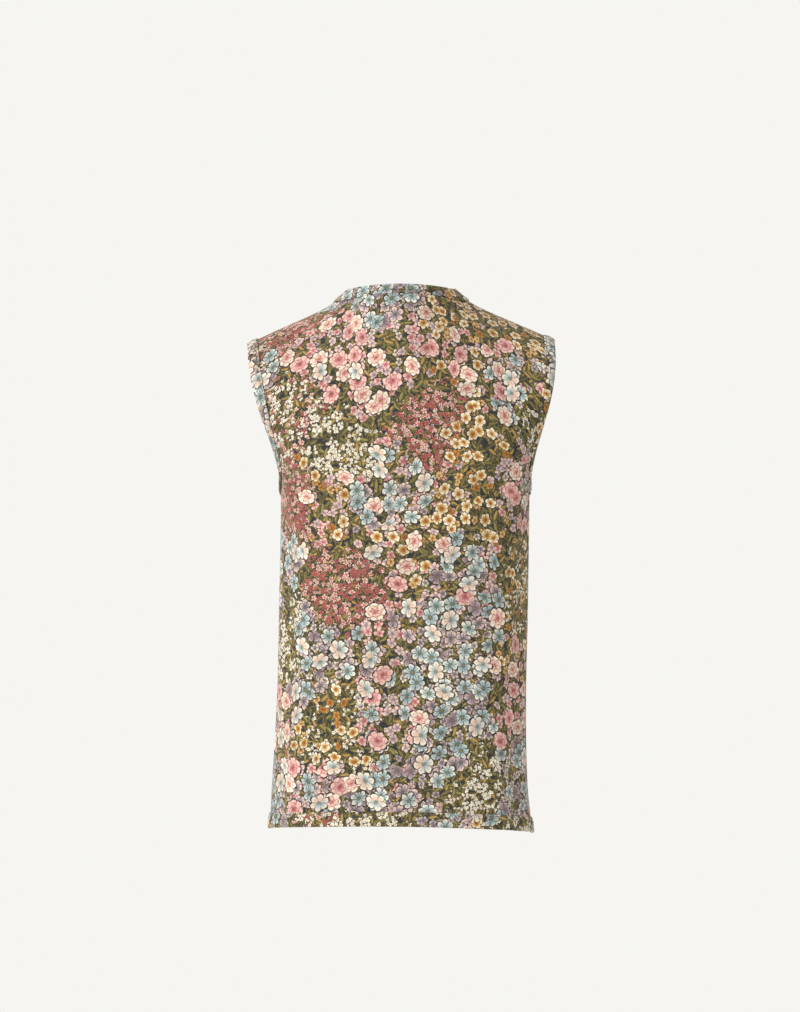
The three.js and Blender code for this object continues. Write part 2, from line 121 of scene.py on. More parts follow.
# Studio: a large soft light on the camera's left, a weaker one on its right, another for the
# garment's front, and a pale surround that the floor fades into
studio = {
    "surround": "#f6f5f1",
    "lamp": "#fff8ee",
    "ambient": 0.66,
    "key": {"at": (3.3, 3.2, 1.5), "size": 2.2, "watts": 170},
    "fill": {"at": (-3.2, 2.6, 0.4), "size": 2.6, "watts": 8},
    "frontKey": {"at": (2.2, -3.7, 1.6), "size": 2.2, "watts": 115},
    "aim": (0, 0, -0.35),
    "floorZ": -1.45,
    "floorRadius": 2.6,
    "fadeFrom": 0.45,      # share of the floor's radius
    "floor": "#efeee9",
}


def addLight(name, at, size, watts):
    data = bpy.data.lights.new(name, "AREA")
    data.energy = watts
    data.color = linearColour(studio["lamp"])[:3]
    data.shape = "DISK"
    data.size = size
    made = bpy.data.objects.new(name, data)
    made.location = at
    made.rotation_euler = (Vector(at) - Vector(studio["aim"])).to_track_quat("Z", "Y").to_euler()
    scene.collection.objects.link(made)


def makeStudio():
    scene.view_settings.view_transform = "Standard"
    world = bpy.data.worlds.new("surround")
    scene.world = world
    world.use_nodes = True
    tree = world.node_tree
    tree.nodes.clear()
    seen = addNode(tree, "Background", {"Color": linearColour(studio["surround"]), "Strength": 1.0})
    lit = addNode(tree, "Background", {"Color": linearColour(studio["lamp"]), "Strength": studio["ambient"]})
    toCamera = addNode(tree, "LightPath", output="Is Camera Ray")
    mixed = addNode(tree, "MixShader", (toCamera, lit, seen))
    addNode(tree, "OutputWorld", {"Surface": mixed})
    for name in ("key", "fill", "frontKey"):
        addLight(name, **studio[name])
    rings, spokes = 8, 64
    radius = [studio["floorRadius"] * (i + 1) / rings for i in range(rings)]
    points = [(x, y, studio["floorZ"]) for r in radius for x, y in circle(r, spokes)]
    mesh = bpy.data.meshes.new("floor")
    mesh.from_pydata(points, [], [list(range(spokes))] + ringFaces(rings, spokes))
    floor = bpy.data.objects.new("floor", mesh)
    scene.collection.objects.link(floor)
    # Painted studio floor: matt, with a soft rim where it meets the surround
    material, tree = newMaterial("mattStudioPaint")
    place = addNode(tree, "TexCoord", output="Object")
    far = addNode(tree, "VectorMath", (place,), "Value", operation="LENGTH")
    near, edge = (math.hypot(studio["floorRadius"] * k, studio["floorZ"]) for k in (studio["fadeFrom"], 1))
    fade = addNode(tree, "MapRange", (far, near, edge))
    paint = addNode(tree, "BsdfPrincipled", {"Base Color": linearColour(studio["floor"]), "Roughness": 0.9})
    clear = addNode(tree, "BsdfTransparent")
    finishMaterial(tree, addNode(tree, "MixShader", (fade, paint, clear)))
    mesh.materials.append(material)


makeCamera()
makeStudio()
print("camera and studio are in place")

# The form of the cut, in millimetres: the same sizes as the solids
back, front = 1, -1
clothThick = 1.6
seamGap = 0.3
cut = {
    "underarmZ": -245, "neckPointDrop": 195, "napeRise": 3.4, "neckX": 68, "tipX": 196,
    "hem": {back: (-673.3, 16, 3), front: (-682, 7, 3)},   # middle's height, fall to the sides, tilt
    "fullLift": 1.5, "fullTurn": 1.62, "leastDepth": 78,
    "swellFrom": 0.5, "swellTo": 0.78, "swellPeak": 0.47, "swellOut": 15.5, "swell": {back: 17, front: 13},
}
shoulder = {
    "endX": 245, "atX": 192, "atZ": -62.4, "slope": 0.4426, "smoothing": 40, "neckFlare": 70.5,
    "neckFlareWidth": 50, "tilt": 0.0135, "tipDroop": 2, "tipSharpness": 16, "forward": 9,
}
# Level sections: height, half width, depth behind and before, squareness, sway to the left
sections = [
    (-720, 172.5, 126, 121, 2.45, 0.5),
    (-680, 167.3, 122, 118, 2.45, 0.5),
    (-630, 163.5, 117, 114, 2.5, 1.5),
    (-540, 159.5, 111, 111, 2.55, 0),
    (-400, 159, 108, 113, 2.55, -3.5),
    (-310, 159, 111, 117, 2.7, -5),
    (-245, 159, 115, 120, 3.1, -5),
    (-190, 161, 120, 123, 3.9, -5),
]
# Armhole edges: share of the way to the side, rise from the underarm (1) to the tip (2)
tipShare = cut["tipX"] / shoulder["endX"]
armhole = {
    back: [(1, 1), (0.93, 1.008), (0.87, 1.045), (0.825, 1.12), (0.795, 1.24), (0.777, 1.4), (0.773, 1.55),
           (0.78, 1.7), (0.791, 1.86), (tipShare, 2)],
    front: [(1, 1), (0.93, 1.008), (0.86, 1.045), (0.805, 1.12), (0.765, 1.24), (0.745, 1.4), (0.745, 1.55),
            (0.76, 1.7), (0.782, 1.86), (tipShare, 2)],
}
# Largest soft folds: face, share at top and bottom, heights, width as a share, depth
folds = [
    (back, 0.8, 0.72, -215, -470, 0.07, -3.4),
    (back, -0.84, -0.7, -225, -520, 0.075, -3.8),
    (back, 0.05, 0.02, -330, -600, 0.3, -4),
    (back, 0.66, 0.6, -480, -700, 0.09, 3),
    (back, -0.5, -0.62, -500, -700, 0.1, 3.2),
    (back, -0.3, -0.24, -560, -700, 0.09, -2.4),
    (front, 0.74, 0.56, -225, -500, 0.09, -4),
    (front, -0.74, -0.6, -225, -480, 0.09, -3.6),
    (front, 0.5, 0.58, -470, -700, 0.1, 3.4),
    (front, -0.46, -0.5, -500, -700, 0.1, 3),
]


def blendOf(a, b, t):
    return a + (b - a) * t


def hermite(p0, m0, p1, m1, t):
    u = 1 - t
    return p0 * (1 + 2 * t) * u * u + m0 * t * u * u + p1 * t * t * (3 - 2 * t) - m1 * t * t * u


def unit(vectors):
    return vectors / np.maximum(np.linalg.norm(vectors, axis=-1, keepdims=True), 1e-9)


halvings = 22


# The value between low and high where a rising function reaches a target
def solve(f, target, low, high):
    low, high = np.broadcast_arrays(low, high, target)[:2]
    for _ in range(halvings):
        middle = (low + high) / 2
        above = f(middle) < target
        low, high = np.where(above, middle, low), np.where(above, high, middle)
    return (low + high) / 2


# A quarter of a squared ellipse, as points at equal lengths from the middle to the side
outlineSteps = 160


def outlineOf(halfWidth, depth, square):
    angle = np.linspace(0, math.pi / 2, 2 * outlineSteps + 1)
    across, along = np.sin(angle) / halfWidth, np.maximum(np.cos(angle), 0) / depth
    radius = (across ** square + along ** square) ** (-1 / square)
    x, y = radius * np.sin(angle), radius * np.cos(angle)
    length = np.concatenate([[0], np.cumsum(np.hypot(np.diff(x), np.diff(y)))])
    wanted = np.linspace(0, length[-1], outlineSteps + 1)
    return np.interp(wanted, length, x), np.interp(wanted, length, y)


sectionZ = np.array([row[0] for row in sections], float)
sectionSway = np.array([row[5] for row in sections], float)
outlines = np.array([[outlineOf(row[1], row[k], row[4]) for row in sections] for k in (2, 3)])


# A smooth curve through the sections at a share of the way round, read at a height
def bodyPoint(face, share, z):
    place = np.clip(np.abs(share), 0, 1) * outlineSteps
    step = np.minimum(place.astype(int), outlineSteps - 1)
    part = (place - step)[:, None]
    half = np.where(face > 0, 0, 1)
    i = np.searchsorted(sectionZ[1:-1], z, side="left")
    rows = [np.maximum(i - 1, 0), i, i + 1, np.minimum(i + 2, len(sectionZ) - 1)]
    turn = np.stack([np.sign(share), face], -1)
    values = []
    for row in rows:
        found = blendOf(outlines[half, row, :, step], outlines[half, row, :, step + 1], part) * turn
        values.append(found + np.stack([sectionSway[row], 0 * share], -1))
    z0, z1, z2, z3 = (sectionZ[row][:, None] for row in rows)
    leave = (values[2] - values[0]) / (z2 - z0) * (z2 - z1)
    arrive = (values[3] - values[1]) / (z3 - z1) * (z2 - z1)
    found = hermite(values[1], leave, values[2], arrive, (z[:, None] - z1) / (z2 - z1))
    return np.concatenate([found, z[:, None]], -1)


def hemZ(face, share):
    middle, fall, tilt = (np.where(face > 0, *pair) for pair in zip(cut["hem"][back], cut["hem"][front]))
    return middle - fall * share * share + tilt * share


def shoulderPoint(share):
    s = shoulder
    x = share * s["endX"]
    slope = s["slope"] * (math.hypot(s["atX"], s["smoothing"]) - np.hypot(x, s["smoothing"]))
    flare = s["neckFlare"] * np.exp(-((x / s["neckFlareWidth"]) ** 2))
    droop = s["tipDroop"] * np.minimum(np.abs(x) / cut["tipX"], 1.1) ** s["tipSharpness"]
    z = s["atZ"] + slope + flare - droop - s["tilt"] * x
    return np.stack([x, -s["forward"] * (x / cut["tipX"]) ** 2, z], -1)


def swellAt(share, t):
    beside = np.clip((share - cut["swellFrom"]) / (cut["swellTo"] - cut["swellFrom"]), 0, 1)
    peak = cut["swellPeak"]
    t = np.clip(t, 0, 1)
    fall = ((1 - t) / (1 - peak)) ** (2 * (1 - peak) / peak)
    return beside ** 2 * (3 - 2 * beside) * (t / peak) ** 2 * fall


def foldDepth(face, share, z):
    depth = np.zeros_like(z)
    for side, top, bottom, high, low, width, height in folds:
        t = np.clip((high - z) / (high - low), 0, 1)
        fade = np.sin(math.pi * np.minimum(t, 0.5)) ** 2
        bump = height * fade * np.exp(-(((share - blendOf(top, bottom, t)) / width) ** 2))
        depth += np.where(face == side, bump, 0)
    return depth


slopeStep = 6


def plainPoint(face, share, rise):
    over = np.abs(share) > 1
    face, share = np.where(over, -face, face), np.where(over, np.sign(share) * (2 - np.abs(share)), share)
    face, rise = np.where(rise > 2, -face, face), np.where(rise > 2, 4 - rise, rise)
    hemHeight = hemZ(face, share)
    underarm = np.full_like(share, cut["underarmZ"])
    body = bodyPoint(face, share, blendOf(hemHeight, underarm, np.minimum(rise, 1)))
    low, high = bodyPoint(face, share, underarm), shoulderPoint(share)
    leave = bodyPoint(face, share, underarm + slopeStep) - bodyPoint(face, share, underarm - slopeStep)
    leave *= (cut["fullLift"] * (high[:, 2] - low[:, 2]) / (2 * slopeStep))[:, None]
    t = np.clip(rise - 1, 0, 1)
    arriveY = -face * cut["fullTurn"] * np.maximum(np.abs(low[:, 1]), cut["leastDepth"])
    swelling = swellAt(np.abs(share), t)
    out = np.where(face > 0, cut["swell"][back], cut["swell"][front])
    yoke = np.stack([
        hermite(low[:, 0], leave[:, 0], high[:, 0], 0, t) + np.sign(share) * cut["swellOut"] * swelling,
        hermite(low[:, 1], leave[:, 1], high[:, 1], arriveY, t) + face * out * swelling,
        hermite(low[:, 2], leave[:, 2], high[:, 2], 0, t),
    ], -1)
    return np.where((rise <= 1)[:, None], body, yoke)


turnStep = 0.004


def outward(pointAt, face, share, rise):
    across = pointAt(face, share + turnStep, rise) - pointAt(face, share - turnStep, rise)
    up = pointAt(face, share, rise + turnStep) - pointAt(face, share, rise - turnStep)
    return unit(np.cross(up, across) * face[:, None])


# The cloth's outer face at flat arrays of places
def formPoint(face, share, rise):
    point = plainPoint(face, share, rise)
    depth = foldDepth(face, share, point[:, 2])
    return point + outward(plainPoint, face, share, rise) * depth[:, None]


# A table of places: face, share and rise as arrays of one shape
def placesOf(face, share, rise):
    share, rise = np.broadcast_arrays(np.asarray(share, float), np.asarray(rise, float))
    return np.full(share.shape, face), share, rise


def flat(f, places, *more):
    shape = places[1].shape
    found = f(*more, *(np.ravel(p).astype(float) for p in places))
    return found.reshape(shape + (3,))


def pointsOf(places):
    return flat(formPoint, places)


def normalsOf(places):
    return flat(outward, places, formPoint)


# Moves places over the cloth in a direction, by a distance
def walk(places, direction, distance, steps=3):
    face, share, rise = (np.array(p, float) for p in places)
    for _ in range(steps):
        a = pointsOf((face, share + turnStep, rise)) - pointsOf((face, share - turnStep, rise))
        b = pointsOf((face, share, rise + turnStep)) - pointsOf((face, share, rise - turnStep))
        normal = unit(np.cross(a, b))
        along = direction - normal * (direction * normal).sum(-1, keepdims=True)
        along = unit(along) * (2 * turnStep * distance / steps)[..., None]
        aa, ab, bb = (a * a).sum(-1), (a * b).sum(-1), (b * b).sum(-1)
        pa, pb = (along * a).sum(-1), (along * b).sum(-1)
        share = share + (pa * bb - pb * ab) / (aa * bb - ab * ab)
        rise = rise + (pb * aa - pa * ab) / (aa * bb - ab * ab)
    return face, share, rise


search = {"line": 6, "place": 9, "below": 437, "above": 260}     # rounds, and first guess of the lengths


# Places on the front where a measure of the point is nought, found along the share
def frontPlaceWhere(missing, share, rise):
    for _ in range(search["line"]):
        off = missing(pointsOf(placesOf(front, share, rise)))
        moved = missing(pointsOf(placesOf(front, share + turnStep, rise)))
        share = share - off * turnStep / (moved - off)
    return placesOf(front, share, rise)


def frontPlaceAtX(x, rise):
    x, rise = np.broadcast_arrays(np.asarray(x, float), np.asarray(rise, float))
    return frontPlaceWhere(lambda p: p[..., 0] - x, x / shoulder["endX"], rise)


# The place on the front at a width and a height
def frontPlaceAt(x, z):
    x, z = np.broadcast_arrays(np.atleast_1d(np.asarray(x, float)), np.asarray(z, float))
    share = x / shoulder["endX"]
    rise = 1 + (z - cut["underarmZ"]) / np.where(z < cut["underarmZ"], search["below"], search["above"])
    for _ in range(search["place"]):
        here, aside, above = (pointsOf(placesOf(front, share + a, rise + b))
                              for a, b in ((0, 0), (turnStep, 0), (0, turnStep)))
        a, b = (aside - here) / turnStep, (above - here) / turnStep
        offX, offZ = x - here[..., 0], z - here[..., 2]
        spread = a[..., 0] * b[..., 2] - b[..., 0] * a[..., 2]
        share = share + (offX * b[..., 2] - offZ * b[..., 0]) / spread
        rise = rise + (offZ * a[..., 0] - offX * a[..., 2]) / spread
    return placesOf(front, share, rise)


def neckLinePlace(side, out):
    out = np.asarray(out, float)
    return frontPlaceAt(side * out, -cut["neckPointDrop"] * (1 - out / cut["neckX"]))


def frontNeckEdge(side, start, t):
    startShare, startRise = start[1].item(), start[2].item()
    rise = blendOf(startRise, 2, t)
    neckShare = side * cut["neckX"] / shoulder["endX"]

    def beyond(p):
        return side * p[..., 0] - cut["neckX"] * (1 + p[..., 2] / cut["neckPointDrop"])

    share = frontPlaceWhere(beyond, blendOf(startShare, neckShare, t), rise)[1]
    share = np.where(t <= 0, startShare, np.where(t >= 1, neckShare, share))
    return placesOf(front, share, rise)


def backNeckEdge(side, t):
    out = np.sin(np.asarray(t) * math.pi / 2)
    share = side * out * cut["neckX"] / shoulder["endX"]
    height = lambda r: pointsOf((np.full(r.shape, back), share, r))[..., 2]
    rise = solve(height, cut["napeRise"] * (1 - out * out), np.ones_like(out), 2.0)
    return placesOf(back, share, np.where(t >= 1, 2, rise))


# A centripetal curve through an armhole table, from the underarm (0) to the tip (1)
def armholeEdge(face, side, t):
    p = np.array(armhole[face], float)
    p = np.vstack([2 * p[0] - p[1], p, 2 * p[-1] - p[-2]])
    at = np.clip(np.asarray(t, float), 0, 1) * (len(p) - 3)
    i = np.minimum(at.astype(int), len(p) - 4)
    p0, p1, p2, p3 = (p[i + n] for n in range(4))
    d0, d1, d2 = (np.sqrt(np.linalg.norm(b - a, axis=-1, keepdims=True))
                  for a, b in ((p0, p1), (p1, p2), (p2, p3)))
    leave = ((p1 - p0) / d0 - (p2 - p0) / (d0 + d1) + (p2 - p1) / d1) * d1
    arrive = ((p2 - p1) / d1 - (p3 - p1) / (d1 + d2) + (p3 - p2) / d2) * d1
    found = hermite(p1, leave, p2, arrive, (at - i)[..., None])
    return placesOf(face, side * np.minimum(found[..., 0], 1), np.clip(found[..., 1], 1, 2))


# Soft creases, in millimetres as seen from behind or before: start and end
# (x, z), sideways bow, half width, depth (below zero is a trough)
creases = {
    back: [
        ((148, -232), (96, -318), 9, 10, -2.0),
        ((150, -262), (112, -372), -7, 13, -1.5),
        ((-146, -236), (-98, -330), -8, 11, -2.1),
        ((-150, -275), (-118, -400), 8, 14, -1.6),
        ((-128, -300), (-60, -352), -6, 12, 1.1),
        ((120, -330), (48, -372), 7, 12, 1.0),
        ((-30, -70), (-78, -150), 6, 15, -1.2),
        ((34, -78), (86, -146), -6, 16, -1.1),
        ((-112, -96), (-150, -160), 5, 10, -1.2),
        ((116, -104), (152, -172), -5, 10, -1.1),
        ((70, -452), (-8, -470), 7, 13, -1.1),
        ((-24, -508), (-92, -490), -7, 12, -1.2),
        ((132, -470), (88, -560), 9, 14, -1.5),
        ((-138, -480), (-112, -604), -9, 13, -1.7),
        ((108, -575), (116, -690), 5, 12, 1.4),
        ((46, -588), (40, -690), -4, 14, -1.3),
        ((-52, -600), (-46, -690), 5, 12, 1.1),
        ((-104, -590), (-112, -690), -5, 11, -1.4),
    ],
    front: [
        ((142, -238), (88, -310), 8, 10, -2.1),
        ((-144, -236), (-92, -316), -8, 11, -2.0),
        ((132, -306), (70, -372), 6, 12, 1.1),
        ((-134, -300), (-64, -360), -6, 12, 1.1),
        ((44, -90), (92, -170), 6, 14, -1.2),
        ((-46, -84), (-96, -160), -6, 15, -1.2),
        ((26, -300), (78, -332), -5, 9, -1.2),
        ((-24, -402), (-80, -430), 5, 10, -1.3),
        ((24, -488), (84, -520), -6, 11, -1.2),
        ((-24, -580), (-76, -612), 5, 10, -1.1),
        ((104, -560), (112, -690), 5, 12, -1.5),
        ((-100, -566), (-108, -690), -5, 12, -1.4),
        ((58, -600), (56, -690), 4, 13, 1.2),
        ((-62, -596), (-58, -690), -4, 12, 1.2),
    ],
}
creaseLook = {"strength": 1.35, "past": 0.2}      # past: how far a crease fades beyond its ends
# Slow unevenness of heavy cloth that has been worn: depth and lengths in millimetres
uneven = {"depth": 0.45, "across": 31, "up": 44, "bend": 1.3, "bendUp": 57}


def creaseDepth(face, points):
    x, z = points[..., 0], points[..., 2]
    depth = np.zeros(x.shape)
    for side, strokes in creases.items():
        here = face == side
        for start, end, bow, width, height in strokes:
            a, b = np.array(start, float), np.array(end, float)
            long = np.linalg.norm(b - a)
            ahead = (b - a) / long
            px, pz = x - a[0], z - a[1]
            past = creaseLook["past"]
            t = np.clip((px * ahead[0] + pz * ahead[1]) / long, -past, 1 + past)
            off = px * ahead[1] - pz * ahead[0] - bow * 4 * t * (1 - t)
            taper = np.sin(math.pi * np.clip((t + past) / (1 + 2 * past), 0, 1)) ** 1.5
            depth += np.where(here, height * taper * np.exp(-((off / width) ** 2)), 0)
    wave = np.sin(x / uneven["across"] + uneven["bend"] * np.sin(z / uneven["bendUp"]))
    slow = uneven["depth"] * wave * np.sin(z / uneven["up"] + face)
    return creaseLook["strength"] * depth + slow


# Puckers that sewing leaves along a seam: a wave with uneven steps
def pucker(along, pitch, seed):
    return np.sin(2 * math.pi * along / pitch + 1.7 * np.sin(along / (pitch * 2.7) + seed) + seed)


def surfaceOf(places, height=0.0):
    points, normals = pointsOf(places), normalsOf(places)
    lift = creaseDepth(places[0], points) + height
    return points + normals * lift[..., None], normals


def makeObject(name, vertices, faces, materials, kinds=None, cloth=None, smooth=True):
    mesh = bpy.data.meshes.new(name)
    mesh.from_pydata([tuple(v) for v in np.asarray(vertices) * mm], [], [list(map(int, f)) for f in faces])
    for material in materials:
        mesh.materials.append(material)
    if kinds is not None:
        mesh.polygons.foreach_set("material_index", np.asarray(kinds, np.int32))
    mesh.polygons.foreach_set("use_smooth", [smooth] * len(mesh.polygons))
    if cloth is not None:
        layer = mesh.uv_layers.new(name="cloth")
        corner = np.empty(len(mesh.loops), np.int32)
        mesh.loops.foreach_get("vertex_index", corner)
        layer.uv.foreach_set("vector", (np.asarray(cloth) * mm)[corner].astype(np.float32).ravel())
    mesh.update()
    made = bpy.data.objects.new(name, mesh)
    scene.collection.objects.link(made)
    return made


# Turns a closed mesh's faces outward
def faceOutward(made):
    mesh = made.data
    mesh.calc_loop_triangles()
    v = np.array([p.co for p in mesh.vertices])
    t = np.array([t.vertices for t in mesh.loop_triangles])
    if (v[t[:, 0]] * np.cross(v[t[:, 1]], v[t[:, 2]])).sum() < 0:
        mesh.flip_normals()
    return made


# A closed cloth wall over a grid of outer points. Its edges are rounded off a little.
def makeShell(name, places, cloth, materials, edgeDrop=0.5, underShare=0.6):
    outer, normals = surfaceOf(places)
    rows, columns = outer.shape[:2]
    drop = np.zeros((rows, columns, 1))
    drop[[0, -1]] = drop[:, [0, -1]] = edgeDrop
    inner = outer - normals * (clothThick - drop * underShare)
    outer = outer - normals * drop
    index = np.arange(rows * columns).reshape(rows, columns)
    under = index + rows * columns
    a, b, c, d = index[:-1, :-1], index[1:, :-1], index[1:, 1:], index[:-1, 1:]
    top = np.stack([a, b, c, d], -1).reshape(-1, 4)
    low = np.stack([under[:-1, :-1], under[:-1, 1:], under[1:, 1:], under[1:, :-1]], -1).reshape(-1, 4)
    loop = np.concatenate([index[0, :-1], index[:-1, -1], index[-1, :0:-1], index[:0:-1, 0]])
    after = np.roll(loop, -1)
    rim = np.stack([loop, after, after + rows * columns, loop + rows * columns], -1)
    vertices = np.concatenate([outer.reshape(-1, 3), inner.reshape(-1, 3)])
    kinds = np.repeat([0, 1, 0], [len(top), len(low), len(rim)])
    cloth = np.concatenate([cloth.reshape(-1, 2)] * 2)
    return faceOutward(makeObject(name, vertices, np.concatenate([top, low, rim]), materials, kinds, cloth))


# Lengths over the cloth, in millimetres: from the middle out, on a side, and from the hem up
def clothLengths(places, middle, side=1):
    points = pointsOf(places)
    across, up = np.diff(points, axis=1), np.diff(points, axis=0)
    u = np.cumsum(np.hypot(across[..., 0], across[..., 1]), axis=1)
    u = np.concatenate([np.zeros((len(u), 1)), u], 1)
    u = side * (u - u[:, middle:middle + 1]) + points[:, middle:middle + 1, 0]
    v = np.cumsum(np.hypot(up[..., 1], up[..., 2]), axis=0)
    v = np.concatenate([np.zeros((1, v.shape[1])), v], 0) + points[:1, :, 2]
    return np.stack([u, v], -1)


# Fills a piece of the cut between its four edges, each given as shares and rises
def fillPiece(face, side, edges, columns, rows):
    bottom, top = (np.array(edges[k](columns)) for k in ("bottom", "top"))
    left, right = (np.array(edges[k](rows)) for k in ("left", "right"))
    u, v = columns[None, None, :], rows[None, :, None]
    below = blendOf(bottom[:, :1], bottom[:, -1:], columns)[:, None]
    above = blendOf(top[:, :1], top[:, -1:], columns)[:, None]
    across = blendOf(left[:, :, None], right[:, :, None], u)
    share, rise = across + blendOf(bottom[:, None] - below, top[:, None] - above, v)
    return placesOf(face, side * share, rise)


# Even divisions with one more line close to each end, for the rounded edges
def divisions(count, start=True, end=True, close=0.12):
    t = np.arange(count + 1) / count
    more = ([close / count] if start else []) + ([1 - close / count] if end else [])
    return np.sort(np.concatenate([t, more]))


panel = {
    "bodyShare": 13 / 33,      # share of the rows below the underarm, as in the solids
    "rows": 200, "halfColumns": 62, "neckColumns": 20,
    "sideLength": 235, "shoulderDepth": 160,
    "bodyLength": 430, "armholeLength": 330,
}
seamShare = 1 - seamGap / 2 / panel["sideLength"]
seamRise = 2 - seamGap / 2 / panel["shoulderDepth"]


def outerEdge(face, v):
    low = v <= panel["bodyShare"]
    _, share, rise = armholeEdge(face, 1, (v - panel["bodyShare"]) / (1 - panel["bodyShare"]))
    share = np.where(low, seamShare, np.minimum(share, seamShare))
    return share, np.where(low, v / panel["bodyShare"], np.minimum(rise, seamRise))


# Rows crowd neither end, but are as dense below the underarm as above it
def panelRows():
    half = divisions(panel["rows"])
    lower = panel["bodyLength"] / (panel["bodyLength"] + panel["armholeLength"])
    return np.where(half < lower, half / lower * panel["bodyShare"],
                    panel["bodyShare"] + (half - lower) / (1 - lower) * (1 - panel["bodyShare"]))


def backHalf(side):
    neckEnd = cut["neckX"] / cut["tipX"]
    inner = np.linspace(0, neckEnd, panel["neckColumns"] + 1)
    outer = blendOf(neckEnd, 1, divisions(panel["halfColumns"] - panel["neckColumns"], start=False))[1:]
    topRise = backNeckEdge(side, np.zeros(1))[2][0]

    def top(u):
        t = np.minimum(u / neckEnd, 1)
        _, share, rise = backNeckEdge(side, t)
        neck = u < neckEnd
        return (np.where(neck, side * share, u * cut["tipX"] / shoulder["endX"]),
                np.where(neck, np.minimum(rise, seamRise), seamRise))

    edges = {
        "bottom": lambda u: (u * seamShare, 0 * u),
        "top": top,
        "left": lambda v: (0 * v, v * topRise),
        "right": lambda v: outerEdge(back, v),
    }
    return fillPiece(back, side, edges, np.concatenate([inner, outer]), panelRows())


frontBandSize = {
    "width": 29, "lap": 1, "top": 2.45, "length": 480,
    "puff": 0.15, "puckerPitch": 11, "seed": 0.8,
    "belowHem": 0.0034, "stitchFrom": 0.006, "stitchTo": 0.02,      # as shares of the rise
    "rows": 150, "stitchSteps": 160,
}


def frontPlaces(side, centreOut):
    start = neckLinePlace(side, centreOut)
    startRise = start[2].item()
    body = panel["bodyShare"]
    pointRow = body * min(startRise, 1) + (1 - body) * max(startRise - 1, 0)

    def centre(rise):
        _, share, _ = frontPlaceAtX(side * centreOut, rise)
        return side * share, rise

    def left(v):
        _, share, rise = frontNeckEdge(side, start, np.clip((v - pointRow) / (1 - pointRow), 0, 1))
        lowShare, lowRise = centre(np.minimum(v / pointRow, 1) * startRise)
        low = v <= pointRow
        return np.where(low, lowShare, side * share), np.where(low, lowRise, np.minimum(rise, seamRise))

    edges = {
        "bottom": lambda u: (blendOf(centre(np.zeros(1))[0][0], seamShare, u), 0 * u),
        "top": lambda u: (blendOf(cut["neckX"], cut["tipX"], u) / shoulder["endX"], 0 * u + seamRise),
        "left": left,
        "right": lambda v: outerEdge(front, v),
    }
    rows = panelRows()
    rows[np.argmin(abs(rows - pointRow))] = pointRow
    return fillPiece(front, side, edges, divisions(panel["halfColumns"]), rows)


# Applied bands: a strip whose folded edge wraps the panel's edge, lies puffed on the panel,
# dips at the stitching and rounds down at its inner edge. Across and height in millimetres.
bandLook = {
    "stitchIn": 2.3,       # from the inner edge
    "stitchHeight": 1.48,
    "gap": 0.2,            # over the panel
    "topFrom": 1.7,        # height above which the cloth puffs and puckers
    "puff": 0.35,
    "puffRest": 0.25,      # share of the puckers away from the stitches
    "puckerPitch": 13,
    "puckerIn": 3,         # from the stitches
    "puckerReach": 3.5,
    "hiddenSides": 4,      # last sides round, which lie on the panel as the first does
}


def bandProfile(width):
    low = bandLook["gap"]
    s = bandLook["stitchIn"]
    return np.array([
        (-0.2, low), (-0.2, -1.2), (-0.3, -1.75), (-0.75, -2.05), (-1.2, -1.8), (-1.4, -1.1), (-1.45, 0.0),
        (-1.1, 0.8), (-0.9, 1.4), (-0.4, 1.8), (0.6, 2.0), (2.2, 2.15), (0.3 * width, 2.3),
        (0.5 * width, 2.35), (0.7 * width, 2.3), (width - s - 1.8, 2.15), (width - s - 0.8, 1.8),
        (width - s, 1.4), (width - s + 0.7, 1.8), (width - 0.9, 1.95), (width - 0.35, 1.7),
        (width, 1.1), (width, 0.5), (width - 0.35, low), (0.6 * width, low), (0.25 * width, low),
    ])


leanLength = 110         # over which the slant of a mitred end fades out


# Stations along an edge: their places, directions into the cloth and lengths. The cloth is on
# the left of the edge, seen from outside. An end may be cut along a direction of its own.
def bandStations(edge, ring=False, startCut=None, endCut=None):
    points = pointsOf(edge)
    before, after = np.roll(points, 1, 0), np.roll(points, -1, 0)
    if not ring:
        before[0], after[-1] = points[0], points[-1]
    along = unit(after - before)
    inwards = unit(np.cross(normalsOf(edge), along))
    steps = np.linalg.norm(np.diff(points, axis=0), axis=-1)
    length = np.concatenate([[0], np.cumsum(steps)])
    lean = np.zeros(len(length))
    for end, direction in ((0, startCut), (-1, endCut)):
        if direction is not None:
            fade = np.maximum(0, 1 - np.abs(length - length[end]) / leanLength)
            lean += fade * (direction @ along[end]) / (direction @ inwards[end])
    inwards = inwards + along * lean[:, None]
    return {"edge": edge, "inwards": inwards, "lean": lean, "length": length, "ring": ring}


def bandSurface(stations, across, heights):
    reach = np.linalg.norm(stations["inwards"], axis=-1)
    count = across.shape[1]
    places = [np.repeat(np.asarray(p, float)[:, None], count, 1) for p in stations["edge"]]
    direction = np.repeat(stations["inwards"][:, None], count, 1)
    walked = walk(places, direction, across * reach[:, None])
    return surfaceOf(walked, heights)


# A strip made of rings of points, with its ends cut square unless it closes on itself. Its hidden
# faces show the reverse of the cloth.
def makeStrip(name, points, hidden, cloth, closed=False):
    count, around = points.shape[:2]
    faces = ringFaces(count, around, closed=closed)
    kinds = [int(side) for side in hidden] * (len(faces) // around)
    if not closed:
        last = (count - 1) * around
        faces += [list(range(around)), list(range(last, last + around))[::-1]]
        kinds += [0, 0]
    vertices = points.reshape(-1, 3)
    return faceOutward(makeObject(name + "_cloth", vertices, faces, cloths, kinds, cloth.reshape(-1, 2)))


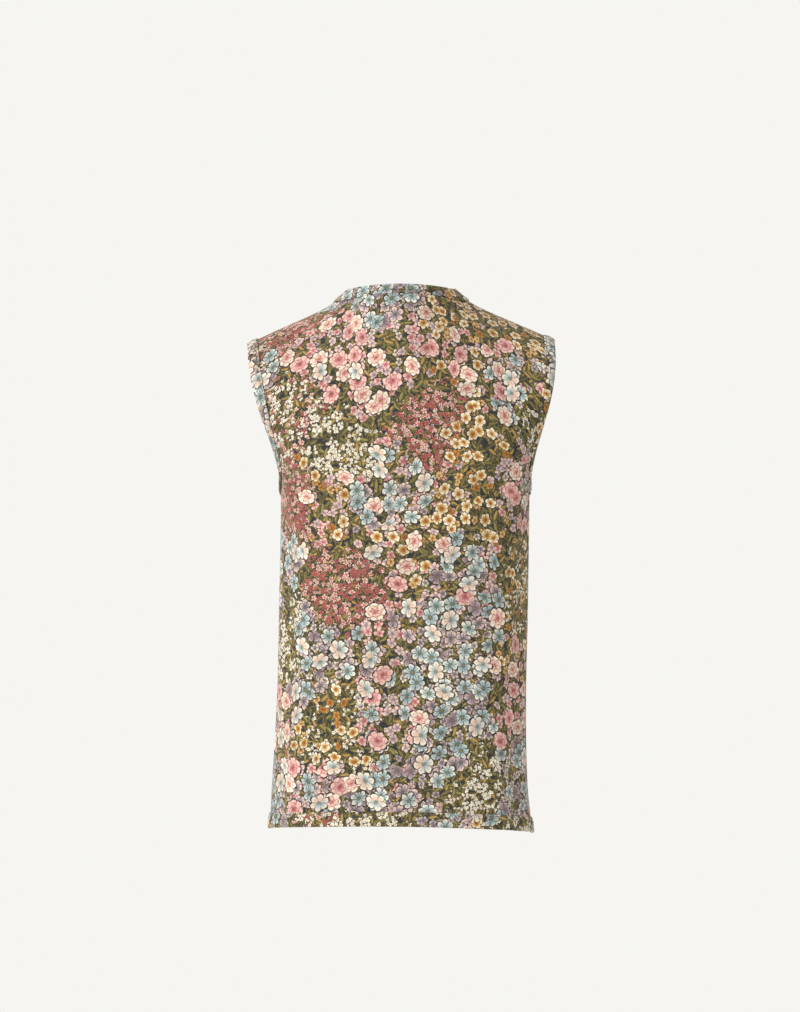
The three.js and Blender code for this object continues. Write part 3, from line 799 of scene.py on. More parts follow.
def makeBand(name, stations, widths, seed):
    look = bandLook
    profiles = np.array([bandProfile(w) for w in widths])
    across, heights = profiles[..., 0], profiles[..., 1].copy()
    onTop = (heights > look["topFrom"]) & (across > 0)
    wave = pucker(stations["length"], look["puckerPitch"], seed)[:, None]
    middle = widths[:, None] - look["stitchIn"] - look["puckerIn"]
    nearStitch = np.exp(-((across - middle) / look["puckerReach"]) ** 2)
    heights += np.where(onTop, look["puff"] * wave * (look["puffRest"] + nearStitch), 0)
    points, _ = bandSurface(stations, across, heights)
    side = np.arange(across.shape[1])
    hidden = (side >= len(side) - look["hiddenSides"]) | (side == 0)
    along = stations["length"][:, None] + across * stations["lean"][:, None]
    u, v = clothOffset[name]
    return makeStrip(name, points, hidden, np.stack([along + u, v - across], -1), stations["ring"])


# A closed solid turned about its axis, from pairs of height and radius
def turnedSolid(profile, sides):
    points = [(0, 0, profile[0][0])]
    for height, radius in profile[1:-1]:
        points += [(x, y, height) for x, y in circle(radius, sides)]
    points.append((0, 0, profile[-1][0]))
    end = len(points) - 1
    foot = [[0, 1 + (k + 1) % sides, 1 + k] for k in range(sides)]
    top = [[end, end - sides + k, end - sides + (k + 1) % sides] for k in range(sides)]
    return points, foot + ringFaces(len(profile) - 2, sides, 1, flipped=True) + top


# A row of stitches: short sunk capsules of thread along a line of points
thread = {"radius": 0.27, "long": 2.7, "pitch": 3.6, "sides": 6}


def capsule():
    shares = ((-1, 0), (-0.9, 0.6), (-0.45, 1), (0.45, 1), (0.9, 0.6), (1, 0))
    profile = [(along * thread["long"] / 2, out * thread["radius"]) for along, out in shares]
    points, faces = turnedSolid(profile, thread["sides"])
    return np.array(points)[:, [2, 0, 1]], faces


def stitchFrames(points, normals, ring=False):
    if ring:
        points, normals = np.vstack([points, points[:1]]), np.vstack([normals, normals[:1]])
    length = np.concatenate([[0], np.cumsum(np.linalg.norm(np.diff(points, axis=0), axis=-1))])
    count = int(length[-1] / thread["pitch"])
    at = (np.arange(count) + 0.5) * length[-1] / count
    here, ahead, up = ([np.interp(at + d, length, line[:, k]) for k in range(3)]
                       for line, d in ((points, 0), (points, 0.5), (normals, 0)))
    here, ahead, up = (np.array(v).T for v in (here, ahead, up))
    along = unit(ahead - here)
    up = unit(up - along * (up * along).sum(-1, keepdims=True))
    return here, along, up


def makeStitches(name, frames, material):
    base, baseFaces = capsule()
    vertices, faces = [], []
    for here, along, up in frames:
        aside = np.cross(up, along)
        for p, a, s, u in zip(here, along, aside, up):
            start = len(vertices) * len(base)
            vertices.append(p + base[:, :1] * a + base[:, 1:2] * s + base[:, 2:] * u)
            faces += [[start + n for n in f] for f in baseFaces]
    return makeObject(name, np.concatenate(vertices), faces, [material])


# Cotton jacquard tapestry. Each flower kind is a layer of cells: a cell holds one flower, turned,
# pressed flat and picked at random. Drifts of about 90 mm settle which kind grows where.
palette = {
    "ground": "#34373d", "shade": "#3a3b3a", "leafDark": "#4b4a34", "leaf": "#747045", "leafLight": "#908a54",
    "leafTip": "#b5985a", "red": "#a04e4c", "coral": "#c67a75", "blush": "#efcdc3", "cream": "#f3e9d4",
    "white": "#f4efe2", "sky": "#afc4c8", "skyPale": "#d6e0de", "slate": "#5f6f77",
    "mauve": "#a3929b", "mauvePale": "#cfc3c5", "plum": "#7c6c78", "rose": "#d29697", "rosePale": "#ebc8c3",
    "roseDeep": "#b0686b", "butter": "#e6d4a2", "ochre": "#b98845", "rust": "#995a36", "peach": "#f0d5c4",
    "teal": "#6b8990",
}
drifts = {"size": 92, "wander": 60, "wanderSize": 75, "scatter": 22, "grain": 7}
kindOf = {"red": (-0.3, 0.17), "white": (0.17, 0.33), "primrose": (0.33, 0.5), "rose": (0.48, 0.68),
          "blue": (0.66, 1.3)}
rampReach = 1.5          # of a flower's radius
flowerLightness = (0.8, 1.08)
# Dark lines between petals, from near the middle outwards, and a vein up each petal: where they
# fade, across the petal and along the radius
petalMarks = {"line": ((0.14, 0.56), (0.08, 0.24)), "vein": ((0.95, 0.995), (0.52, 0.36))}
umbel = {"size": 17, "radius": 7.0}
wobble = {"size": 5.0, "reach": 3.9, "leafReach": 1.2}      # how far the weave's steps pull the drawing


def driftAt(tree, position):
    wander = addNode(tree, "TexNoise", {"Vector": position, "Scale": 1 / drifts["wanderSize"], "Detail": 1.0},
                     "Color", noise_dimensions="2D")
    reach = (drifts["wander"], drifts["wander"], 0)
    pulled = addNode(tree, "VectorMath", (wander, reach, position), operation="MULTIPLY_ADD")
    found = addNode(tree, "TexVoronoi", {"Vector": pulled, "Scale": 1 / drifts["size"], "Randomness": 0.85},
                    "Color", voronoi_dimensions="2D")
    return addNode(tree, "SeparateColor", (found,))


# One cell's own frame: the place in it, its middle on the cloth, and three chances
def cellFrame(tree, place, look):
    shift = look["shift"] + (0,)
    shifted = addNode(tree, "VectorMath", (place, shift), operation="ADD")
    centre = addNode(tree, "TexVoronoi", {"Vector": shifted, "Scale": 1 / look["cell"],
                     "Randomness": look["loose"]}, "Position", voronoi_dimensions="2D")
    chances = addNode(tree, "SeparateColor", (centre.node.outputs["Color"],)).node.outputs
    local = addNode(tree, "VectorMath", (shifted, centre), operation="SUBTRACT")
    turn = addNode(tree, "Math", (chances[0], 2 * math.pi), operation="MULTIPLY")
    turned = addNode(tree, "VectorRotate", {"Vector": local, "Angle": turn}, rotation_type="Z_AXIS")
    middle = addNode(tree, "VectorMath", (centre, shift), operation="SUBTRACT")
    return turned, middle, chances


def layOver(tree, amount, below, above):
    return addNode(tree, "Mix", {0: amount, 6: below, 7: above}, 2, data_type="RGBA")


def kindHere(tree, drift, chance, look):
    low, high = kindOf[look["kind"]]
    strayed = addNode(tree, "Math", (chance, look["stray"], drift), operation="MULTIPLY_ADD")
    centre = (low + high) / 2 + look["stray"] / 2
    return addNode(tree, "Math", (strayed, centre, (high - low) / 2), operation="COMPARE")


def flowerLayer(tree, place, below, look, drift=None):
    turned, middle, chances = cellFrame(tree, place, look)
    press = addNode(tree, "MapRange", (chances[1], 0, 1, 1, 1 + look["press"]))
    pressed = addNode(tree, "CombineXYZ", (1.0, press, 0.0))
    local = addNode(tree, "VectorMath", (turned, pressed), operation="MULTIPLY")
    split = addNode(tree, "SeparateXYZ", (local,)).node.outputs
    radius = addNode(tree, "VectorMath", (local,), "Value", operation="LENGTH")
    angle = addNode(tree, "Math", (split[1], split[0]), operation="ARCTAN2")
    petal = addNode(tree, "Math", (angle, look["petals"] / 2), operation="MULTIPLY")
    for operation in ("COSINE", "ABSOLUTE"):
        petal = addNode(tree, "Math", (petal,), operation=operation)
    rounded = addNode(tree, "Math", (petal, look["round"]), operation="POWER")
    size = look["radius"]
    edge = addNode(tree, "Math", (rounded, size * look["notch"], size * (1 - look["notch"])),
                   operation="MULTIPLY_ADD")
    share = addNode(tree, "Math", (radius, edge), operation="DIVIDE")
    share = addNode(tree, "Math", (share, 1 / rampReach), operation="MULTIPLY")
    ramps = [addNode(tree, "ValToRGB", (share,), stops=rampStops(tones, look["outline"]))
             for tones in look["tones"]]
    amount = ramps[0].node.outputs["Alpha"]
    tone = ramps[0]
    if len(ramps) > 1:
        other = addNode(tree, "Math", (chances[2], look["kept"] / 2), operation="GREATER_THAN")
        if look.get("twoFaced"):
            other = addNode(tree, "MapRange", (split[1], -0.15 * size, 0.15 * size))
        tone = layOver(tree, other, ramps[0], ramps[1])
    for mark, ends in (("line", (look["line"], 0)), ("vein", (0, look["vein"]))):
        if look[mark]:
            across, up = petalMarks[mark]
            line = addNode(tree, "MapRange", (petal, *across, *ends))
            part = addNode(tree, "MapRange", (share, *up))
            line = addNode(tree, "Math", (line, part), operation="MULTIPLY")
            tone = layOver(tree, line, tone, linearColour(look["lineTone"]))
    if look.get("arcs"):
        # Folded inner petals, as scalloped arcs round a point off the middle
        off = addNode(tree, "VectorMath", (local, (0.2 * size, 0.12 * size, 0)), operation="ADD")
        off = addNode(tree, "VectorMath", (off,), "Value", operation="LENGTH")
        wound = addNode(tree, "Math", (petal, 3.2, angle), operation="MULTIPLY_ADD")
        wound = addNode(tree, "Math", (off, look["arcs"] / size, wound), operation="MULTIPLY_ADD")
        arc = addNode(tree, "Math", (wound,), operation="SINE")
        arc = addNode(tree, "MapRange", (arc, 0.35, 0.95, 0, 0.85))
        inside = addNode(tree, "MapRange", (share, 0.58, 0.46))
        arc = addNode(tree, "Math", (arc, inside), operation="MULTIPLY")
        tone = layOver(tree, arc, tone, linearColour(look["arcTone"]))
    lightness = addNode(tree, "MapRange", (chances[0], 0, 1, *flowerLightness))
    tone = addNode(tree, "HueSaturation", {"Value": lightness, "Color": tone})
    drift = driftAt(tree, middle) if drift is None else drift
    present = kindHere(tree, drift, chances[1], look)
    if look.get("clump"):
        clump = addNode(tree, "TexVoronoi", {"Vector": middle, "Scale": 1 / umbel["size"], "Randomness": 0.9},
                        "Distance", voronoi_dimensions="2D")
        clump = addNode(tree, "Math", (clump, umbel["radius"] / umbel["size"]), operation="LESS_THAN")
        spare = addNode(tree, "Math", (chances[0], look["clump"]), operation="LESS_THAN")
        clump = addNode(tree, "Math", (clump, spare), operation="MAXIMUM")
        present = addNode(tree, "Math", (present, clump), operation="MULTIPLY")
    kept = addNode(tree, "Math", (chances[2], look["kept"]), operation="LESS_THAN")
    for part in (present, kept):
        amount = addNode(tree, "Math", (amount, part), operation="MULTIPLY")
    return layOver(tree, amount, below, tone)


# Tones from the middle out, then the dark outline, then nothing
def rampStops(tones, outline):
    pairs = [tone.split() for tone in tones.split(", ")]
    soft = 0.02
    stops = [(float(share), name, 1.0) for share, name in pairs]
    stops += [(1.0, stops[-1][1], 1.0), (1 + soft, "shade", 1.0)]
    stops += [(outline, "shade", 1.0), (outline + soft, "shade", 0.0)]
    return [(share / rampReach, palette[name], alpha) for share, name, alpha in stops]


def leafLayer(tree, place, below, look):
    turned, _, chances = cellFrame(tree, place, look)
    split = addNode(tree, "SeparateXYZ", (turned,)).node.outputs
    along = addNode(tree, "Math", (split[0], 1 / look["long"]), operation="MULTIPLY")
    square = addNode(tree, "Math", (along, along), operation="MULTIPLY")
    bow = addNode(tree, "Math", (square, look["bow"], split[1]), operation="MULTIPLY_ADD")
    half = addNode(tree, "Math", (square, -look["wide"], look["wide"]), operation="MULTIPLY_ADD")
    off = addNode(tree, "Math", (bow,), operation="ABSOLUTE")
    inside = addNode(tree, "Math", (half, off), operation="GREATER_THAN")
    tone = addNode(tree, "ValToRGB", (chances[2],), stops=[
        (0.0, palette["leafDark"], 1), (0.2, palette["leaf"], 1), (0.52, palette["leafLight"], 1),
        (0.8, palette["leafTip"], 1)])
    tone.node.color_ramp.interpolation = "CONSTANT"
    # Light half, dark half, a fine light rib and a dark edge
    rim = addNode(tree, "Math", (half, off), operation="SUBTRACT")
    for value, code, span in ((bow, "leafDark", (-0.3, 0.3, 0.8, 0)), (off, "leafTip", (0.15, 0.5, 0.5, 0)),
                              (rim, "ground", (0.3, 0.7, 0.95, 0))):
        tone = layOver(tree, addNode(tree, "MapRange", (value, *span)), tone, linearColour(palette[code]))
    kept = addNode(tree, "Math", (chances[1], look["kept"]), operation="LESS_THAN")
    amount = addNode(tree, "Math", (inside, kept), operation="MULTIPLY")
    return layOver(tree, amount, below, tone)


# Cell, half length, half width, bow, share kept and shift of the cells, in millimetres
leafKeys = ("cell", "long", "wide", "bow", "kept", "shift")
leafLayers = [
    (10.5, 6.0, 2.9, 0.9, 0.95, (0, 0)),
    (11.0, 6.2, 3.0, -1.3, 0.95, (311, 127)),
    (11.5, 6.6, 2.8, 1.5, 0.9, (587, 293)),
    (12.0, 6.6, 3.2, -0.9, 0.85, (61, 691)),
    (12.6, 7.4, 2.9, 1.8, 0.8, (173, 419)),
    (13.5, 7.8, 3.3, -1.4, 0.7, (907, 59)),
]
# Flowers, from the bottom layer up. Lengths are in millimetres, and each text of tones gives
# shares of the radius and colours from the middle out.
usualFlower = {"petals": 5, "loose": 0.9, "press": 0.5, "stray": 0.1, "outline": 1.16, "vein": 0}
flowerLayers = {
    "red starlets": {
        "kind": "red", "cell": 5.8, "loose": 0.85, "shift": (51, 907), "radius": 3.3, "notch": 0.7,
        "round": 1.0, "line": 0.7, "lineTone": "#5c3230", "kept": 0.82, "near": True, "outline": 1.35,
        "tones": ["0 red, 0.5 red, 0.75 coral, 0.95 coral",
                  "0 red, 0.25 coral, 0.5 rosePale, 0.9 blush"],
    },
    "red starlets above": {
        "kind": "red", "cell": 7.6, "shift": (733, 215), "radius": 4.0, "notch": 0.72, "round": 0.9,
        "press": 0.4, "line": 0.8, "lineTone": "#5c3230", "kept": 0.6, "near": True, "outline": 1.35,
        "tones": ["0 roseDeep, 0.4 red, 0.9 coral",
                  "0 red, 0.3 coral, 0.7 blush"],
    },
    "white umbels": {
        "kind": "white", "cell": 4.3, "loose": 0.75, "shift": (401, 77), "radius": 2.1, "petals": 4,
        "notch": 0.4, "round": 0.8, "press": 0.3, "line": 0.0, "lineTone": "#54532f", "kept": 0.92,
        "near": True, "clump": 0.1, "outline": 1.3,
        "tones": ["0 leaf, 0.16 leaf, 0.34 cream, 0.6 white"],
    },
    "white umbels above": {
        "kind": "white", "cell": 5.6, "shift": (23, 641), "radius": 2.6, "notch": 0.35, "round": 0.8,
        "press": 0.3, "line": 0.0, "lineTone": "#54532f", "kept": 0.7, "near": True, "clump": 0.1,
        "outline": 1.25,
        "tones": ["0 leafDark, 0.2 leafLight, 0.34 cream, 0.6 white"],
    },
    "small mauves": {
        "kind": "blue", "cell": 11, "shift": (97, 353), "radius": 5.6, "notch": 0.45, "round": 0.7,
        "line": 0.85, "lineTone": "#54454f", "kept": 0.8, "stray": 0.24,
        "tones": ["0 plum, 0.3 plum, 0.5 mauve, 0.85 mauvePale",
                  "0 leafLight, 0.22 plum, 0.6 mauvePale, 0.9 cream"],
    },
    "small pinks": {
        "kind": "rose", "cell": 12, "shift": (541, 39), "radius": 6.6, "notch": 0.42, "round": 0.7,
        "line": 0.75, "lineTone": "#8e4b52", "kept": 0.85, "stray": 0.26,
        "tones": ["0 roseDeep, 0.2 roseDeep, 0.45 rose, 0.85 rosePale",
                  "0 plum, 0.24 mauve, 0.6 mauvePale, 0.9 blush"],
    },
    "ochre buttons": {
        "kind": "primrose", "cell": 15, "loose": 0.95, "shift": (229, 811), "radius": 6.0,
        "notch": 0.3, "round": 0.7, "press": 0.6, "line": 0.7, "lineTone": "#7b3f1e", "kept": 0.62,
        "stray": 0.14,
        "tones": ["0 rust, 0.3 rust, 0.5 ochre, 0.85 ochre, 0.95 leafTip",
                  "0 rust, 0.3 ochre, 0.7 butter, 0.95 ochre"],
    },
    "primroses": {
        "kind": "primrose", "cell": 18, "loose": 0.85, "shift": (613, 547), "radius": 8.2,
        "notch": 0.34, "round": 0.6, "line": 0.75, "lineTone": "#a1742f", "kept": 0.7, "stray": 0.16,
        "vein": 0.6,
        "tones": ["0 rust, 0.2 rust, 0.3 ochre, 0.52 butter, 0.8 cream, 0.95 white",
                  "0 red, 0.18 rust, 0.4 ochre, 0.7 butter, 0.92 cream"],
    },
    "mauve stars": {
        "kind": "blue", "cell": 21, "shift": (149, 263), "radius": 10.8, "notch": 0.5, "round": 0.6,
        "line": 0.9, "lineTone": "#54454f", "kept": 0.55, "stray": 0.14, "vein": 0.7,
        "tones": ["0 leafTip, 0.13 leaf, 0.22 plum, 0.5 mauve, 0.85 mauve, 0.95 mauvePale",
                  "0 leaf, 0.18 slate, 0.35 mauve, 0.75 mauvePale, 0.95 blush"],
    },
    "blue stars": {
        "kind": "blue", "cell": 20.5, "shift": (829, 463), "radius": 11.2, "petals": 6, "notch": 0.46,
        "round": 0.55, "press": 0.45, "line": 0.92, "lineTone": "#3f5059", "kept": 0.62, "vein": 0.8,
        "tones": ["0 leafTip, 0.18 leaf, 0.26 slate, 0.42 sky, 0.75 sky, 0.95 skyPale",
                  "0 leafTip, 0.16 leaf, 0.22 teal, 0.38 sky, 0.8 skyPale, 0.95 white"],
    },
    "roses": {
        "kind": "rose", "cell": 27, "shift": (383, 739), "radius": 13.0, "petals": 7, "notch": 0.26,
        "round": 0.55, "press": 0.4, "line": 0.6, "lineTone": "#b96e74", "kept": 0.66, "stray": 0.08,
        "arcs": 14, "arcTone": "#ad575f",
        "tones": ["0 leafDark, 0.1 leaf, 0.16 roseDeep, 0.32 rose, 0.6 rosePale, 0.95 blush",
                  "0 leaf, 0.1 ochre, 0.18 rose, 0.36 blush, 0.7 cream, 0.95 white"],
    },
    "peach daisies": {
        "kind": "blue", "cell": 34, "loose": 1.0, "shift": (271, 157), "radius": 12.8, "petals": 6,
        "notch": 0.45, "round": 0.5, "press": 0.4, "line": 0.7, "lineTone": "#7c7c80", "kept": 0.45,
        "stray": 0.5, "vein": 0.5, "twoFaced": True,
        "tones": ["0 leafTip, 0.17 teal, 0.34 sky, 0.6 skyPale, 0.95 white",
                  "0 leafTip, 0.18 teal, 0.3 peach, 0.7 peach, 0.95 white"],
    },
}


# Threads 0.5 mm apart would not show, so the rib, the picks and the long floats of the reverse
# are drawn at these spacings, in millimetres. A wave texture of scale 1 repeats at pi / 10.
weave = {"rib": 1.1, "pick": 1.5, "float": 1.2}
weaveScale = {name: math.pi / 10 / spacing for name, spacing in weave.items()}


# The place on the cloth, in millimetres
def clothPlace(tree):
    uv = addNode(tree, "UVMap", uv_map="cloth")
    return addNode(tree, "VectorMath", (uv, (1 / mm, 1 / mm, 0)), operation="MULTIPLY")


def wovenTapestry():
    material, tree = newMaterial("wovenCottonTapestry")
    place = clothPlace(tree)
    pull = addNode(tree, "TexNoise", {"Vector": place, "Scale": 1 / wobble["size"], "Detail": 2.5}, "Color",
                   noise_dimensions="2D")
    drawn, drawnLeaves = (
        addNode(tree, "VectorMath", (pull, (reach, reach, 0), place), operation="MULTIPLY_ADD")
        for reach in (wobble["reach"], wobble["leafReach"]))
    tone = linearColour(palette["ground"])
    for row in leafLayers:
        tone = leafLayer(tree, drawnLeaves, tone, {"loose": 0.8, **dict(zip(leafKeys, row))})
    # Small flowers share one drift, mixed a little at its edges
    grains = addNode(tree, "TexVoronoi", {"Vector": drawn, "Scale": 1 / drifts["grain"]}, "Color",
                     voronoi_dimensions="2D")
    reach = (drifts["scatter"], drifts["scatter"], 0)
    here = driftAt(tree, addNode(tree, "VectorMath", (grains, reach, drawn), operation="MULTIPLY_ADD"))
    for look in flowerLayers.values():
        tone = flowerLayer(tree, drawn, tone, {**usualFlower, **look}, here if look.get("near") else None)
    rib, pick = (addNode(tree, "TexWave", {"Vector": place, "Scale": weaveScale[name], "Distortion": bent,
                         "Detail": 1.0}, "Fac", bands_direction=direction)
                 for name, bent, direction in (("rib", 1.2, "X"), ("pick", 1.6, "Y")))
    threads = addNode(tree, "Math", (rib, pick), operation="MULTIPLY")
    fibre = addNode(tree, "TexNoise", {"Vector": place, "Scale": 0.9, "Detail": 3.0}, "Fac",
                    noise_dimensions="2D")
    grain = addNode(tree, "MapRange", (fibre, 0.3, 0.7, 0.86, 1.1))
    tone = addNode(tree, "VectorMath", {0: tone, 3: grain}, operation="SCALE")
    height = addNode(tree, "Math", (fibre, 0.6, threads), operation="MULTIPLY_ADD")
    bump = addNode(tree, "Bump", {"Strength": 0.5, "Distance": 0.3 * mm, "Height": height})
    shader = addNode(tree, "BsdfPrincipled", {
        "Base Color": tone, "Roughness": 0.9, "Specular IOR Level": 0.25, "Sheen Weight": 0.12,
        "Sheen Roughness": 0.5, "Normal": bump})
    finishMaterial(tree, shader)
    return material


# The reverse of the cloth: long weft floats, in muted streaks of the same colours
def wovenReverse():
    material, tree = newMaterial("wovenTapestryReverse")
    place = clothPlace(tree)
    drawn = addNode(tree, "VectorMath", (place, (0.07, 0.42, 0)), operation="MULTIPLY")
    cloud = addNode(tree, "TexNoise", {"Vector": drawn, "Scale": 1.0, "Detail": 2.0, "Roughness": 0.6},
                    "Fac", noise_dimensions="2D")
    tone = addNode(tree, "ValToRGB", (cloud,), stops=[
        (0.28, "#54544c", 1), (0.4, "#857c56", 1), (0.46, "#a89c86", 1), (0.52, "#a87a72", 1),
        (0.58, "#9aa3a6", 1), (0.66, "#c9bb9c", 1), (0.76, "#7f7860", 1)])
    floats = addNode(tree, "TexWave", {"Vector": place, "Scale": weaveScale["float"], "Distortion": 1.5,
                     "Detail": 1.5}, "Fac", bands_direction="Y")
    shadow = addNode(tree, "MapRange", (floats, 0, 1, 0.62, 1))
    tone = addNode(tree, "VectorMath", {0: tone, 3: shadow}, operation="SCALE")
    bump = addNode(tree, "Bump", {"Strength": 0.6, "Distance": 0.4 * mm, "Height": floats})
    shader = addNode(tree, "BsdfPrincipled", {
        "Base Color": tone, "Roughness": 0.92, "Specular IOR Level": 0.2, "Sheen Weight": 0.1,
        "Normal": bump})
    finishMaterial(tree, shader)
    return material


# Polyester-wrapped cotton thread: soft gloss, twisted two-ply
def spunThread():
    material, tree = newMaterial("spunSewingThread")
    place = addNode(tree, "TexCoord", output="Object")
    twist = addNode(tree, "TexWave", {"Vector": place, "Scale": 900.0, "Distortion": 0.5}, "Fac",
                    bands_direction="DIAGONAL")
    tone = addNode(tree, "ValToRGB", (twist,), stops=[(0.0, "#5f5a3c", 1), (1.0, "#8a825a", 1)])
    bump = addNode(tree, "Bump", {"Strength": 0.4, "Distance": 0.1 * mm, "Height": twist})
    shader = addNode(tree, "BsdfPrincipled", {"Base Color": tone, "Roughness": 0.6, "Sheen Weight": 0.2,
                     "Normal": bump})
    finishMaterial(tree, shader)
    return material


# Buffalo horn, turned and polished: dark brown with paler streaks along the grain
def polishedHorn():
    material, tree = newMaterial("polishedBuffaloHorn")
    place = addNode(tree, "TexCoord", output="Object")
    drawn = addNode(tree, "VectorMath", (place, (90, 420, 420)), operation="MULTIPLY")
    streak = addNode(tree, "TexNoise", {"Vector": drawn, "Scale": 1.0, "Detail": 5.0, "Distortion": 0.6},
                     "Fac")
    tone = addNode(tree, "ValToRGB", (streak,), stops=[
        (0.3, "#1c120c", 1), (0.5, "#38251a", 1), (0.64, "#6b4c33", 1), (0.8, "#8d6c4b", 1)])
    gloss = addNode(tree, "MapRange", (streak, 0, 1, 0.26, 0.42))
    shader = addNode(tree, "BsdfPrincipled", {"Base Color": tone, "Roughness": gloss, "IOR": 1.56})
    finishMaterial(tree, shader)
    return material


tapestry, reverse = wovenTapestry(), wovenReverse()
sewingThread, horn = spunThread(), polishedHorn()
cloths = [tapestry, reverse]
print("materials are mixed")


def dress(made, slot, *nodes):
    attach(made, "root")
    if nodes:
        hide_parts(*nodes)
    return made


# Each piece was cut from another place on the cloth, so the flowers break at seams
clothOffset = {
    "back": (0, 0), "front_left": (1370, 410), "front_right": (2290, 770), "neck_band": (3170, 220),
    "armhole_band_left": (4030, 530), "armhole_band_right": (4870, 910), "hem_band": (5610, 130),
    "front_band": (6530, 650),
}


def makePanels():
    right, left = backHalf(-1), backHalf(1)
    places = tuple(np.concatenate([r[:, :0:-1], l], 1) for r, l in zip(right, left))
    made = {}
    cloth = clothLengths(places, right[1].shape[1] - 1)
    made["back"] = makeShell("back_cloth", places, cloth + clothOffset["back"], cloths)
    leftOut = frontBandSize["width"] / 2 - frontBandSize["lap"]
    for name, side, out in (("front_left", 1, leftOut), ("front_right", -1, seamGap - leftOut)):
        places = frontPlaces(side, out)
        cloth = clothLengths(places, 0, side)
        made[name] = makeShell(name + "_cloth", places, cloth + clothOffset[name], cloths)
    return made


panels = makePanels()
print("panels are laid:", {k: len(v.data.polygons) for k, v in panels.items()})

bandWidth = {"nape": 12, "neck": 24, "armhole": 14, "hem": 17}
edgeSteps = {"neck": 60, "nape": 61, "armhole": 90, "hemFront": 110, "hemBack": 220}
frontBandEdge = frontBandSize["width"] / 2 + seamGap


def joinPlaces(*parts):
    return tuple(np.concatenate([p[n] for p in parts]) for n in range(3))


def backwards(places):
    return tuple(p[::-1] for p in places)


def neckEdge():
    t = np.linspace(0, 1, edgeSteps["neck"])
    starts = {-1: neckLinePlace(-1, seamGap), 1: neckLinePlace(1, frontBandEdge)}
    nape = np.linspace(-1, 1, edgeSteps["nape"])[1:-1]
    parts = [backNeckEdge(s, np.abs(n)) for s, n in ((-1, nape[nape < 0]), (1, nape[nape >= 0]))]
    return joinPlaces(frontNeckEdge(-1, starts[-1], t), *parts, backwards(frontNeckEdge(1, starts[1], t)))


def armholeRing(side):
    t = np.linspace(0, 1, edgeSteps["armhole"])
    ahead = tuple(p[1:-1] for p in armholeEdge(front, side, t))
    edge = joinPlaces(armholeEdge(back, side, t), backwards(ahead))
    return backwards(edge) if side > 0 else edge


def hemEdge():
    start, end = (frontPlaceAtX(np.array([x]), np.zeros(1))[1][0] for x in (frontBandEdge, -frontBandEdge))
    ahead, behind = edgeSteps["hemFront"], edgeSteps["hemBack"]
    shares = [(front, np.linspace(start, 1, ahead)), (back, np.linspace(1, -1, behind)[1:-1]),
              (front, np.linspace(-1, end, ahead))]
    return joinPlaces(*(placesOf(face, s, np.zeros_like(s)) for face, s in shares))


stitchLines = {}


# The band round the neck is narrower at the nape
def widthsAlong(edge, kind):
    wide = float(bandWidth[kind])
    if kind != "neck":
        return np.full(edge[1].shape, wide)
    share = np.abs(edge[1]) * shoulder["endX"] / cut["neckX"]
    widened = blendOf(bandWidth["nape"], wide, np.minimum(share, 1) ** 4)
    return np.where(edge[0] == front, wide, widened)


def addBand(name, edge, kind, seed, **ends):
    stations = bandStations(edge, **ends)
    widths = widthsAlong(edge, kind)
    made = makeBand(name, stations, widths, seed)
    line = (widths - bandLook["stitchIn"])[:, None]
    points, normals = bandSurface(stations, line, np.full_like(line, bandLook["stitchHeight"]))
    stitchLines[name] = (points[:, 0], normals[:, 0], stations["ring"])
    return dress(made, "tapestry_band", name)


# The neck band's ends: the first follows the V's slope, the last stands upright at the front band
mitre = np.array([-cut["neckX"], 0, -cut["neckPointDrop"]], float)
upright = np.array([0, 0, -1.0])
# Edge, kind of width, where the puckers start, and how the ends are cut
bandRows = {
    "neck_band": (neckEdge(), "neck", 0.4, {"startCut": mitre, "endCut": upright}),
    "armhole_band_left": (armholeRing(1), "armhole", 1.9, {"ring": True}),
    "armhole_band_right": (armholeRing(-1), "armhole", 2.7, {"ring": True}),
    "hem_band": (hemEdge(), "hem", 3.3, {}),
}
bands = {name: addBand(name, *row, **ends) for name, (*row, ends) in bandRows.items()}


# Front band: both long edges folded under, its top on the slant of the left neck edge
def makeFrontBand():
    half = frontBandSize["width"] / 2
    inner = half - bandLook["stitchIn"]
    low, high = bandLook["gap"], frontBandSize["top"]
    side = [(half - 0.3, low), (half, 0.6), (half, 1.2), (half - 0.35, 1.75), (half - 1.1, 1.95),
            (inner, 1.4), (inner - 0.9, 1.9), (inner - 2.2, 2.3), (inner - 5, high), (0, high)]
    profile = side + [(-x, h) for x, h in side[-2::-1]]
    profile += [(x, low) for x in np.linspace(-half + 0.3, half - 0.3, 6)[1:-1]]
    x, h = np.array(profile).T
    along = divisions(frontBandSize["rows"], close=0.3)
    top, bottom = neckLinePlace(1, x)[2], -frontBandSize["belowHem"]
    places = frontPlaceAtX(np.broadcast_to(x, (len(along), len(x))), blendOf(bottom, top, along[:, None]))
    length = along[:, None] * frontBandSize["length"]
    wave = pucker(length, frontBandSize["puckerPitch"], frontBandSize["seed"])
    onTop = (h > bandLook["topFrom"]) & (np.abs(x) < inner)
    points, _ = surfaceOf(places, h + np.where(onTop, frontBandSize["puff"] * wave, 0))
    hidden = np.arange(len(profile)) >= len(side) * 2 - 1
    made = makeStrip("front_band", points, hidden, points[..., [0, 2]] + clothOffset["front_band"])
    for name, at in (("front_band_l", inner), ("front_band_r", -inner)):
        end = neckLinePlace(1, at)[2].item() - frontBandSize["stitchTo"]
        rise = np.linspace(frontBandSize["stitchFrom"], end, frontBandSize["stitchSteps"])
        points, normals = surfaceOf(frontPlaceAtX(np.full(rise.shape, at), rise), bandLook["stitchHeight"])
        stitchLines[name] = (points, normals, False)
    return dress(made, "tapestry_band", "front_band")


bands["front_band"] = makeFrontBand()
print("bands are sewn on:", {k: len(v.data.polygons) for k, v in bands.items()})

